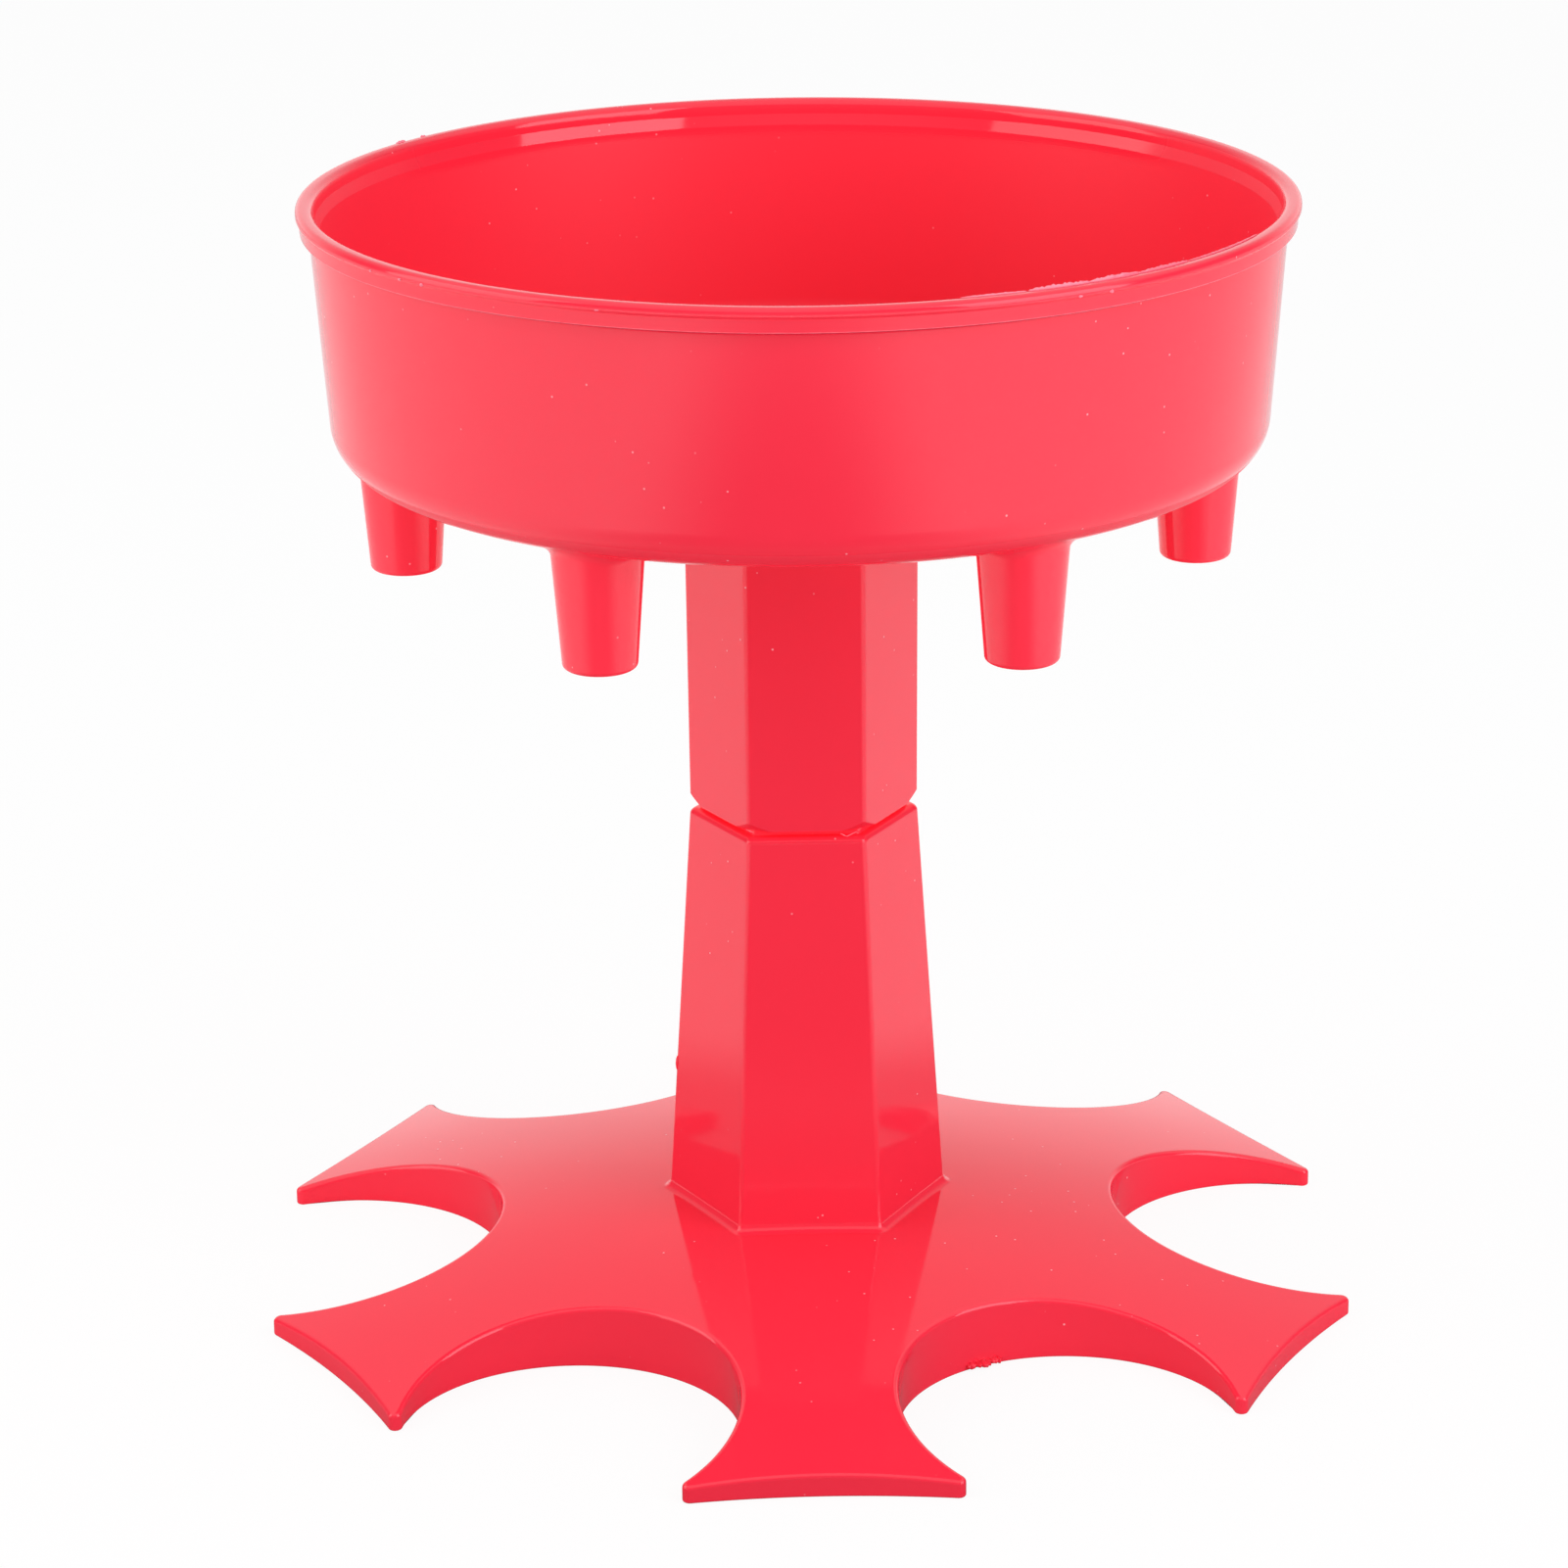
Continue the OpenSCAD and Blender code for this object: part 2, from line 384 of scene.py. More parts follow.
@dataclass
class Spout:
    """One tapered spout, hollow from its tip to the floor of the bowl.

    Its straight rows stop root_stretch short of the bowl's underside outside, and
    mouth_stretch short of it in the bore.
    """

    pos_r: float = 55.6
    length: float = 16.8
    tip_r: float = 5.0
    root_r: float = 6.3
    wall: float = 2.0
    edge_r: float = 0.8
    bore_edge_r: float = 0.3
    root_fillet: float = 1.3
    mouth_round: float = 0.4
    root_stretch: float = 3.0
    mouth_stretch: float = 1.0

    def outer_r(self, above_tip: np.ndarray | float) -> np.ndarray | float:
        """Outside radius at a height above the tip."""
        return self.tip_r + above_tip * (self.root_r - self.tip_r) / self.length

    def bore_r(self, above_tip: np.ndarray | float) -> np.ndarray | float:
        """Radius of the bore at a height above the tip."""
        return self.outer_r(above_tip) - self.wall

    def ring(self, radius: np.ndarray | float, degrees: np.ndarray) -> np.ndarray:
        """Points round the spout's axis, which stands on +X, in plan."""
        out = directions(degrees) * np.asarray(radius)[..., None]
        out[..., 0] += self.pos_r
        return out


@dataclass
class Bowl:
    """The upper moulding: bowl, spouts and the upper half of the column.

    The grids of the underside and the floor have their ports from port_ring_r and floor_ring_r
    outwards. They pass into the wall's grid at the angles outer_split and inner_split of the
    round corners, in degrees from outwards.
    """

    underside_z: float = 124.0
    height: float = 36.0
    rim_r: float = 69.0
    top_r: float = 67.5
    bottom_r: float = 65.0
    wall: float = 1.5
    floor: float = 2.0
    crown: float = 2.0
    corner_r: float = 6.0
    lip: float = 1.1
    step: float = 0.4
    band: float = 1.8
    taper: float = 0.4
    outer_edge_r: float = 0.8
    inner_edge_r: float = 1.2
    step_edge_r: float = 0.06
    step_crease_r: float = 0.12
    soft_edge_r: float = 0.3
    mouth: float = 0.9
    flare: float = 1.6
    flare_w: float = 0.5
    port_half_angle: int = 12
    port_ring_r: float = 47.0
    floor_ring_r: float = 49.5
    outer_split: float = -27.0
    inner_split: float = -45.0
    seat_z: float = 71.6
    joint_half: float = 14.2
    column_top_half: float = 14.4
    column_corner_r: float = 1.0
    end_reach: float = 0.7
    end_edge_r: float = 0.2
    socket_half: float = 12.0
    socket_corner_r: float = 0.4
    socket_edge_r: float = 0.25
    column_fillet: float = 1.5
    spout: Spout = field(default_factory=Spout)
    hexagon: HexColumn = field(default_factory=HexColumn)
    skin: Skin = field(default_factory=partial(Skin, "bowl_moulding"))

    def __post_init__(self) -> None:
        """Works out the rim's height and the middles of the round corners, outside and inside."""
        self.rim_z = self.underside_z + self.height
        self.lean = math.degrees(math.atan((self.top_r - self.bottom_r) / self.height))
        reach = math.tan(math.radians((90 - self.lean) / 2))
        self.outer_mid = self.bottom_r - self.corner_r * reach
        self.inner_corner_r = self.corner_r - self.wall
        foot = self.wall_r(self.floor) - self.wall
        self.inner_mid = foot - self.inner_corner_r * reach
        self.round = np.arange(-90, 271)

    def wall_r(self, above: float) -> float:
        """Outside radius of the plain wall at a height above the underside."""
        return self.bottom_r + above * (self.top_r - self.bottom_r) / self.height

    def band_foot(self) -> tuple[float, float]:
        """Radius and height of the rim band's lower edge; the band leans as the wall does."""
        radius = self.rim_r - self.step - (self.wall_r(self.band) - self.wall_r(0))
        return radius, self.rim_z - self.lip - self.step - self.band

    def underside(self, radius: np.ndarray) -> np.ndarray:
        """Height of the outside's lower face: level, then the round corner's quarter arc."""
        past = np.clip(radius - self.outer_mid, 0, None)
        return self.underside_z + self.corner_r - np.sqrt(self.corner_r**2 - past**2)

    def floor_top(self, radius: np.ndarray) -> np.ndarray:
        """Height of the floor inside: a crown of crown * (1 - (r / edge)^2)^2, then the arc."""
        inside = np.clip(radius / self.inner_mid, 0, 1)
        past = np.clip(radius - self.inner_mid, 0, None)
        arc = self.inner_corner_r - np.sqrt(self.inner_corner_r**2 - past**2)
        return self.underside_z + self.floor + self.crown * (1 - inside**2) ** 2 + arc

    def arc(
        self, mid_r: float, radius: float, low: float, a0: float, a1: float, spans: int
    ) -> np.ndarray:
        """Path of (radius, height) along a round corner.

        Args:
            mid_r: distance of the arc's middle from the axis.
            radius: radius of the arc.
            low: height of the arc's lowest point.
            a0: angle at its start, in degrees from outwards.
            a1: angle at its end.
            spans: how many spans it has.

        Returns:
            Rows of radius and height.
        """
        turn = directions(np.linspace(a0, a1, spans + 1)) * radius
        return turn + np.array([mid_r, low + radius])

    def ported_band(
        self, radii: np.ndarray, height: Curve, hole_r: float
    ) -> tuple[np.ndarray, np.ndarray]:
        """A ring of the bowl's bottom with six round holes in it.

        Between holes, rows follow the radii. Round a hole, each column runs straight from a
        point of the hole to a point on the border of a patch, in plan, so that both share one
        count of points. The height comes from the bowl's section everywhere.

        Args:
            radii: the radii of the rows, from inside out.
            height: the function of radius that gives the height.
            hole_r: radius of the holes.

        Returns:
            The angles round a hole's axis, and the hole's edge as a row of points.
        """
        half = self.port_half_angle
        path = np.stack([radii, height(radii)], -1)
        self.skin.add_all_round(revolved(path, np.arange(half, PITCH - half + 1)), -60)
        across = np.arange(-half, half + 1)
        inner = radii[0] * directions(across)
        outer = radii[-1] * directions(across)
        low = radii[:, None] * directions(np.array(-half))
        high = radii[:, None] * directions(np.array(half))
        border = np.concatenate([outer, high[::-1][1:], inner[::-1][1:], low[1:]])
        out = border - np.array([self.spout.pos_r, 0])
        degrees = np.degrees(np.unwrap(np.arctan2(out[:, 1], out[:, 0])))
        plan = between(self.spout.ring(hole_r, degrees), border, 10)
        patch = raised(plan, height(np.linalg.norm(plan, axis=-1)))
        self.skin.add_all_round(patch, -60)
        return degrees, patch[0]

    def add_outside(self) -> None:
        """The outside from the spouts' ring, up the wall, over the rim and down the inside."""
        start = self.arc(self.outer_mid, self.corner_r, 0, self.outer_split, -self.lean, 6)
        flange = self.height - self.lip - self.step - self.band - self.taper
        mouth = self.top_r - self.wall + self.flare_w
        flare_top = self.height - self.inner_edge_r - self.mouth
        flare_foot = flare_top - self.flare
        line = rounded(
            [
                tuple(start[-1]),
                (self.wall_r(flange), flange),
                (self.band_foot()[0], flange + self.taper),
                (self.rim_r - self.step, flange + self.taper + self.band),
                (self.rim_r, self.height - self.lip),
                (self.rim_r, self.height),
                (mouth, self.height),
                (self.wall_r(flare_top) - self.wall + self.flare_w, flare_top),
                (self.wall_r(flare_foot) - self.wall, flare_foot),
                (self.wall_r(self.floor) - self.wall, self.floor),
            ],
            [
                self.soft_edge_r,
                self.step_edge_r,
                self.step_crease_r,
                self.step_edge_r,
                self.outer_edge_r,
                self.inner_edge_r,
                self.soft_edge_r,
                self.soft_edge_r,
            ],
        )
        end = self.arc(
            self.inner_mid, self.inner_corner_r, self.floor, self.inner_split, -self.lean, 5
        )
        path = np.concatenate([start, line[1:-1], end[::-1]])
        path[:, 1] += self.underside_z
        self.skin.add(revolved(path, self.round))

    def add_bottom(self) -> None:
        """Underside and floor, with the six spouts that join them."""
        spout = self.spout
        level = np.linspace(self.port_ring_r, self.outer_mid, 8)
        bend = self.arc(self.outer_mid, self.corner_r, 0, -90, self.outer_split, 10)[1:, 0]
        radii = np.concatenate([level, bend])
        outside, root = self.ported_band(radii, self.underside, spout.root_r + spout.root_fillet)
        level = np.linspace(self.floor_ring_r, self.inner_mid, 8)
        bend = self.arc(self.inner_mid, self.inner_corner_r, 0, -90, self.inner_split, 10)[1:, 0]
        radii = np.concatenate([level, bend])
        tip_z = self.underside_z - spout.length
        mouth_r = spout.bore_r(self.underside_z + self.floor - tip_z) + spout.mouth_round
        inside, mouth = self.ported_band(radii, self.floor_top, mouth_r)
        disc = np.linspace(0, radii[0], 24)
        self.skin.add(revolved(np.stack([disc, self.floor_top(disc)], -1), self.round))
        self.add_spouts(outside, root, inside, mouth)

    def add_spouts(
        self, outside: np.ndarray, root: np.ndarray, inside: np.ndarray, mouth: np.ndarray
    ) -> None:
        """The spouts: a fillet at the root, the taper, the rounded tip and the bore.

        The wall's rows turn from the columns of the underside to those of the floor on the way.

        Args:
            outside: angles of the columns at the underside.
            root: the underside's edge round a spout.
            inside: angles of the columns at the floor.
            mouth: the floor's edge round a bore.
        """
        spout = self.spout
        tip_z = self.underside_z - spout.length
        corner = self._met(spout.outer_r, self.underside, outside, tip_z)
        below = corner[:, 2] - spout.root_fillet
        last = raised(spout.ring(spout.outer_r(below - tip_z), outside), below)
        self.skin.add_all_round(blended(root, corner, last, 8), -60)
        lip = self._met(spout.bore_r, self.floor_top, inside, tip_z)
        under = lip[:, 2] - spout.mouth_round
        first = raised(spout.ring(spout.bore_r(under - tip_z), inside), under)
        self.skin.add_all_round(blended(mouth, lip, first, 5), -60)
        path = rounded(
            [
                (spout.outer_r(spout.length - spout.root_stretch), spout.length - spout.root_stretch),
                (spout.tip_r, 0),
                (spout.tip_r - spout.wall, 0),
                (spout.bore_r(spout.length - spout.mouth_stretch), spout.length - spout.mouth_stretch),
            ],
            [spout.edge_r, spout.bore_edge_r],
            8,
        )
        share = np.linspace(0, 1, len(path))[:, None]
        degrees = (1 - share) * outside + share * inside
        rows = raised(spout.ring(path[:, :1], degrees), path[:, 1:] + tip_z)
        self.skin.add_all_round(np.concatenate([last[None], rows, first[None]]), -60)

    def _met(self, radius: Curve, height: Curve, degrees: np.ndarray, tip_z: float) -> np.ndarray:
        """Where a spout's cone meets a face of the bowl, found in three passes.

        Args:
            radius: the cone's radius as a function of height above the tip.
            height: the face's height as a function of radius from the bowl's axis.
            degrees: angles of the columns.
            tip_z: height of the tip.

        Returns:
            A row of points.
        """
        z = np.full(degrees.shape, self.underside_z)
        for _ in range(3):
            plan = self.spout.ring(radius(z - tip_z), degrees)
            z = height(np.linalg.norm(plan, axis=-1))
        return raised(plan, z)

    def add_column(self) -> None:
        """The upper half of the column: fillet, taper, trimmed end and socket."""
        z, fillet, r = self.underside_z, self.column_fillet, self.column_corner_r
        half = self.column_top_half
        wide = self.hexagon.wall(np.array([[half + fillet, z]]), r + fillet)[0]
        corner = self.hexagon.wall(np.array([[half, z]]), r)[0]
        low = half - (half - self.joint_half) * fillet / (z - self.seat_z)
        under = self.hexagon.wall(np.array([[low, z - fillet]]), r)[0]
        ring = revolved(np.array([[self.port_ring_r, z]]), self.round)[0]
        self.skin.add(between(ring, wide, 12))
        self.skin.add(blended(wide, corner, under, 8))
        end = self.hexagon.trimmed_end(self.joint_half, self.seat_z, self.end_reach, self.end_edge_r, r)
        self.skin.add(np.concatenate([under[None], end]))
        top = self.underside_z + self.crown
        mouth = rounded(
            [
                (self.joint_half, self.seat_z),
                (self.socket_half, self.seat_z),
                (self.socket_half, top),
            ],
            [self.socket_edge_r],
        )
        socket = self.hexagon.wall(mouth[1:], self.socket_corner_r)
        self.skin.add(np.concatenate([end[-1:], socket]))
        self.skin.add(self.hexagon.cap(self.socket_half, top, self.socket_corner_r))

    def build(self) -> bpy.types.Object:
        """Makes the skin of the whole moulding."""
        self.add_outside()
        self.add_bottom()
        self.add_column()
        return self.skin.weld()


# ---- stand moulding ----


@dataclass
class Stand:
    """The lower moulding: star base, lower half of the column and its peg.

    The dome has fallen by dome_drop where the column's foot stands on it. The column's corners
    change to the peg's over corner_change, inwards from the shoulder.
    """

    bay_r: float = 23.5
    bay_pos_r: float = 68.5
    arm_end: float = 77.3
    arm_end_r: float = 125.0
    dome_z: float = 12.5
    arm_end_z: float = 3.3
    edge_r: float = 0.7
    point_r: float = 1.0
    foot_edge_r: float = 0.3
    wall: float = 2.0
    hollow_r: float = 68.0
    column_wall: float = 2.2
    foot_half: float = 17.5
    joint_half: float = 14.2
    joint_z: float = 70.8
    column_corner_r: float = 1.0
    foot_fillet: float = 1.2
    dome_drop: float = 0.5
    shoulder_r: float = 1.0
    seat_half: float = 12.8
    seat_h: float = 0.8
    seat_crease_r: float = 0.15
    seat_edge_r: float = 0.1
    peg_half: float = 11.75
    peg_h: float = 15.0
    peg_wall: float = 2.0
    peg_bevel: float = 1.5
    peg_edge_r: float = 0.2
    core_corner_r: float = 0.5
    corner_change: float = 1.2
    neck_rows: int = 14
    bay_rows: int = 52
    point_spans: int = 12
    hexagon: HexColumn = field(default_factory=HexColumn)
    skin: Skin = field(default_factory=partial(Skin, "stand_moulding"))

    def __post_init__(self) -> None:
        """Works out the ball whose cap is the dome, and where a bay stands beside an arm."""
        drop = self.dome_z - self.arm_end_z
        self.dome_r = (self.arm_end**2 + drop**2) / 2 / drop
        self.ball = np.array([0, 0, self.dome_z - self.dome_r])
        self.bay_mid = self.bay_pos_r * directions(np.array(PITCH / 2))
        self.end_mid = np.array([self.arm_end + self.arm_end_r, 0.0])

    def half_at(self, z: float) -> float:
        """Half the column's size across its flats at a height."""
        share = (self.joint_z - z) / (self.joint_z - self.dome_z)
        return self.joint_half + (self.foot_half - self.joint_half) * share

    def dome_at(self, plan: np.ndarray, inset: float = 0.0) -> np.ndarray:
        """Points of the ball, drawn in by inset, above points in plan."""
        flat = (plan**2).sum(-1)
        return raised(plan, self.ball[2] + np.sqrt((self.dome_r - inset) ** 2 - flat))

    def arm_plan(self, foot: np.ndarray, bay_r: float, last: np.ndarray, end_x: Curve) -> np.ndarray:
        """Plan of one arm along +X, from the column to its end.

        Its sides follow the line between two arms, then a circle about each bay's middle. Rows
        run straight across between the sides. Near the column they bend to its outline, and
        towards the end to the arm's own end.

        Args:
            foot: the row that goes along the column.
            bay_r: radius of the circles about the bays.
            last: the corner where a side meets the end.
            end_x: the function of y that gives x along the end.

        Returns:
            A grid of points in plan, from the column outwards.
        """
        start = np.linalg.norm(foot[-1])
        spread = np.linspace(0, 1, self.neck_rows + 1)[:-1]
        neck = (start + (self.bay_pos_r - bay_r - start) * spread)[:, None]
        neck = neck * directions(np.array(PITCH / 2))
        tip = math.degrees(math.atan2(*(last - self.bay_mid)[::-1])) % 360
        turn = np.linspace(180 + PITCH / 2, tip, self.bay_rows + 1)
        side = np.concatenate([neck, self.bay_mid + bay_r * directions(turn)])
        x, w = side[:, :1], side[:, 1:]
        gone = np.clip(np.arange(len(side))[:, None] / self.neck_rows, 0, 1)
        gone = gone * gone * (3 - 2 * gone)
        share = (1 - gone) * foot[:, 1] / foot[-1, 1] + gone * np.linspace(-1, 1, len(foot))
        y = w * share
        waist = self.bay_mid[0]
        come = np.clip((x - waist) / (last[0] - waist), 0, 1) ** 2
        bend = (foot[:, 0] - foot[-1, 0]) * (1 - gone) + (end_x(y) - end_x(w)) * come
        return np.stack([x + bend, y], -1)

    def border(self, arm: np.ndarray) -> np.ndarray:
        """The free edge of an arm's plan, with each of its two corners repeated for a fan.

        Args:
            arm: the plan of the arm.

        Returns:
            A row of points, up one side, across the end and back down the other.
        """
        side = arm[self.neck_rows :]
        first = np.repeat(side[-1:, 0], self.point_spans - 1, 0)
        second = np.repeat(side[-1:, -1], self.point_spans - 1, 0)
        rows = [side[:, 0], first, side[-1], second, side[::-1, -1]]
        return np.concatenate(rows)

    def outwards(self, arm: np.ndarray) -> np.ndarray:
        """Directions out of the arm along its border, fanning round its two points.

        A side faces its bay's middle and the end faces the middle of its own circle.

        Args:
            arm: the plan of the arm.

        Returns:
            A row of unit vectors.
        """
        side = arm[self.neck_rows :]
        to_bay = np.arctan2(*np.moveaxis(self.bay_mid - side[:, -1], -1, 0)[::-1])
        to_end = np.arctan2(*np.moveaxis(self.end_mid - side[-1], -1, 0)[::-1])
        fan = np.linspace(to_end[-1], to_bay[-1], self.point_spans + 1)[1:-1]
        degrees = np.degrees(np.concatenate([-to_bay, -fan[::-1], to_end, fan, to_bay[::-1]]))
        return directions(degrees)

    def add_base(self, wide: np.ndarray, core: np.ndarray) -> None:
        """The star: domed top, rounded edge, wall, skirt and hollow underside.

        The arm's grid keeps point_r from the wall, so that the arm's points come out round in
        plan. The rounded edge is the path of a ball that touches the dome and the wall: its
        middle keeps edge_r from both, and its face turns from the dome's normal to the wall's.

        Args:
            wide: the outline of the foot's fillet on the dome, from one corner to the next.
            core: the outline of the column's core where it meets the roof.
        """
        e, past = self.edge_r, self.point_r - self.edge_r
        near, far = self.bay_r + self.point_r, self.arm_end_r + self.point_r
        span = self.end_mid - self.bay_mid
        d = np.linalg.norm(span)
        along = (d * d + near * near - far * far) / 2 / d
        aside = math.sqrt(near * near - along * along)
        last = self.bay_mid + (along * span + aside * np.array([span[1], -span[0]])) / d

        def end_x(y: np.ndarray) -> np.ndarray:
            """The hollow end: a circle about a point on the arm's line."""
            return self.end_mid[0] - np.sqrt(far * far - y * y)

        shrink = (self.dome_r - e) / self.dome_r
        arm = self.arm_plan(wide[:, :2] * shrink, near, last, end_x)
        middle = self.dome_at(arm, e)
        top = self.ball + (middle - self.ball) / shrink
        top[0] = wide
        self.skin.add_all_round(top, -90)
        inner, out = self.border(arm), raised(self.outwards(arm), 0.0)
        edge = inner + past * out[:, :2]
        ball = self.dome_at(between(inner, edge, 2), e)
        self.skin.add_all_round(self.ball + (ball - self.ball) / shrink, -90)
        ball = ball[-1]
        up = (ball - self.ball) / (self.dome_r - e)
        turn = np.arccos(np.clip((up * out).sum(-1), -1, 1))[None, :, None]
        t = np.linspace(0, 1, 7)[:, None, None]
        face = (np.sin((1 - t) * turn) * up + np.sin(t * turn) * out) / np.sin(turn)
        rim = ball + e * face
        self.skin.add_all_round(rim, -90)
        b = self.foot_edge_r
        wall = between(rim[-1], raised(rim[-1][:, :2], b), 3)
        foot = directions(np.linspace(0, 90, 5))
        low = edge[None] + (e - b + b * foot[:, :1, None]) * out[:, :2]
        low = raised(low, b - b * foot[:, 1:])
        self.skin.add_all_round(np.concatenate([wall, low[1:]]), -90)
        self.add_hollow(core, low[-1])

    def add_hollow(self, core: np.ndarray, foot: np.ndarray) -> None:
        """The underside: the skirt's foot, its inner wall and the roof.

        Args:
            core: the outline of the column's core where it meets the roof.
            foot: the outer edge of the skirt's foot.
        """
        near = self.bay_r + self.wall
        spread = (self.bay_pos_r**2 + self.hollow_r**2 - near**2) / 2 / self.bay_pos_r / self.hollow_r
        last = self.hollow_r * directions(np.array(PITCH / 2 - math.degrees(math.acos(spread))))

        def end_x(y: np.ndarray) -> np.ndarray:
            """The hollow's end: a circle about the column."""
            return np.sqrt(self.hollow_r**2 - y * y)

        arm = self.arm_plan(core[:, :2], near, last, end_x)
        roof = self.dome_at(arm, self.wall)
        roof[0] = core
        self.skin.add_all_round(roof, -90)
        edge = self.border(arm)
        self.skin.add_all_round(between(foot, raised(edge, 0.0), 2), -90)
        self.skin.add_all_round(between(raised(edge, 0.0), self.dome_at(edge, self.wall), 3), -90)

    def add_column(self) -> tuple[np.ndarray, np.ndarray]:
        """The lower half of the column, its peg, and the core that hollows both.

        Args:

        Returns:
            The outline of the foot's fillet on the dome, and that of the core at the roof.
        """
        r, f = self.column_corner_r, self.foot_fillet
        rough = self.half_at(self.dome_z)
        plan = self.hexagon.outline(np.array([2 * (rough + f)]), np.array([r + f]))[0]
        wide = self.dome_at(plan)
        plan = self.hexagon.outline(np.array([2 * rough]), np.array([r]))[0]
        corner = self.dome_at(plan)
        high = (self.half_at(self.dome_z + f), self.dome_z + f - self.dome_drop)
        above = self.hexagon.wall(np.array([high]), r)[0]
        self.skin.add(blended(wide, corner, above, 10))
        seat_z, peg_z = self.joint_z + self.seat_h, self.joint_z + self.peg_h
        end = rounded(
            [
                high,
                (self.joint_half, self.joint_z),
                (self.seat_half, self.joint_z),
                (self.seat_half, seat_z),
                (self.peg_half, seat_z),
                (self.peg_half, peg_z - self.peg_bevel),
                (self.peg_half - self.peg_bevel, peg_z),
                (0.0, peg_z),
            ],
            [self.shoulder_r, self.seat_crease_r, self.seat_edge_r, 0.0] + 2 * [self.peg_edge_r],
            8,
        )[:-1]
        in_from_edge = self.joint_half - self.shoulder_r - end[:, 0]
        on_peg = np.clip(in_from_edge / self.corner_change, 0, 1)
        corner_r = r + (self.core_corner_r - r) * on_peg
        self.skin.add(self.hexagon.wall(end, corner_r))
        self.skin.add(self.hexagon.cap(end[-1, 0], end[-1, 1], corner_r[-1]))
        roof_z = self.dome_z - self.wall - self.dome_drop
        half = self.half_at(roof_z) - self.column_wall
        plan = self.hexagon.outline(np.array([2 * half]), np.array([self.core_corner_r]))[0]
        core = self.dome_at(plan, self.wall)
        ledge = self.joint_z - self.wall
        hole = self.peg_half - self.peg_wall
        inside = np.array(
            [
                [self.half_at(ledge) - self.column_wall, ledge],
                [hole, ledge],
                [hole, peg_z - self.peg_wall],
            ]
        )
        rows = self.hexagon.wall(inside, self.core_corner_r)
        self.skin.add(np.concatenate([core[None], rows]))
        self.skin.add(self.hexagon.cap(hole, inside[-1, 1], self.core_corner_r))
        return wide, core

    def side_row(self, loop: np.ndarray) -> np.ndarray:
        """The part of a column's outline that faces one arm, turned to lie along +X."""
        quarter = turned(loop, 90)[:-1]
        return np.roll(quarter, PITCH // 2, 0)[: PITCH + 1]

    def build(self) -> bpy.types.Object:
        """Makes the skin of the whole moulding."""
        wide, core = self.add_column()
        self.add_base(self.side_row(wide), self.side_row(core))
        return self.skin.weld()


# ---- flash ----


@dataclass(frozen=True)
class Flash:
    """A thin ragged ridge of plastic, squeezed out where the mould's faces meet.

    It follows a circle of radius reach about middle, from start to end in degrees from +X, at
    height z, and rises evenly by climb on the way. At most it stands off the circle by out to
    the sides and by up in height.
    """

    start: float
    end: float
    reach: float
    z: float
    out: float
    up: float
    climb: float = 0.0
    middle: tuple[float, float] = (0.0, 0.0)

    def grid(self, span: float = 0.35, columns: int = 10) -> np.ndarray:
        """The closed surface: an ellipse carried along the circle.

        The ellipse is out by up in half-size, times sin(pi * t)^0.4, which closes both ends,
        times 0.7 + 0.2 * sin(5.1 s) * sin(2.3 s + 1) + 0.1 * sin(11 s) at s mm along.

        Args:
            span: the most that one of its rows is long, in mm, if that makes 24 rows or more.
            columns: spans round the ellipse.

        Returns:
            A grid of points, whose first and last rows each lie in one point.
        """
        length = abs(math.radians(self.end - self.start)) * self.reach
        t = np.linspace(0, 1, max(24, math.ceil(length / span)) + 1)
        bearing = self.start + t * (self.end - self.start)
        s = np.radians(bearing) * self.reach
        ragged = 0.7 + 0.2 * np.sin(5.1 * s) * np.sin(2.3 * s + 1) + 0.1 * np.sin(11 * s)
        size = (np.sin(np.pi * t) ** 0.4 * ragged)[:, None]
        turn = directions(np.linspace(0, 360, columns + 1))
        radius = self.reach + self.out * size * turn[:, 0]
        plan = radius[..., None] * directions(bearing)[:, None] + np.array(self.middle)
        return raised(plan, self.z + self.climb * t[:, None] + self.up * size * turn[:, 1])


def flash_skin(name: str, ridges: list[Flash]) -> bpy.types.Object:
    """Makes one piece of a moulding's flash.

    Args:
        name: the piece's name.
        ridges: what it is made of.

    Returns:
        The piece.
    """
    skin = Skin(name)
    for ridge in ridges:
        skin.add(ridge.grid())
    return skin.weld()


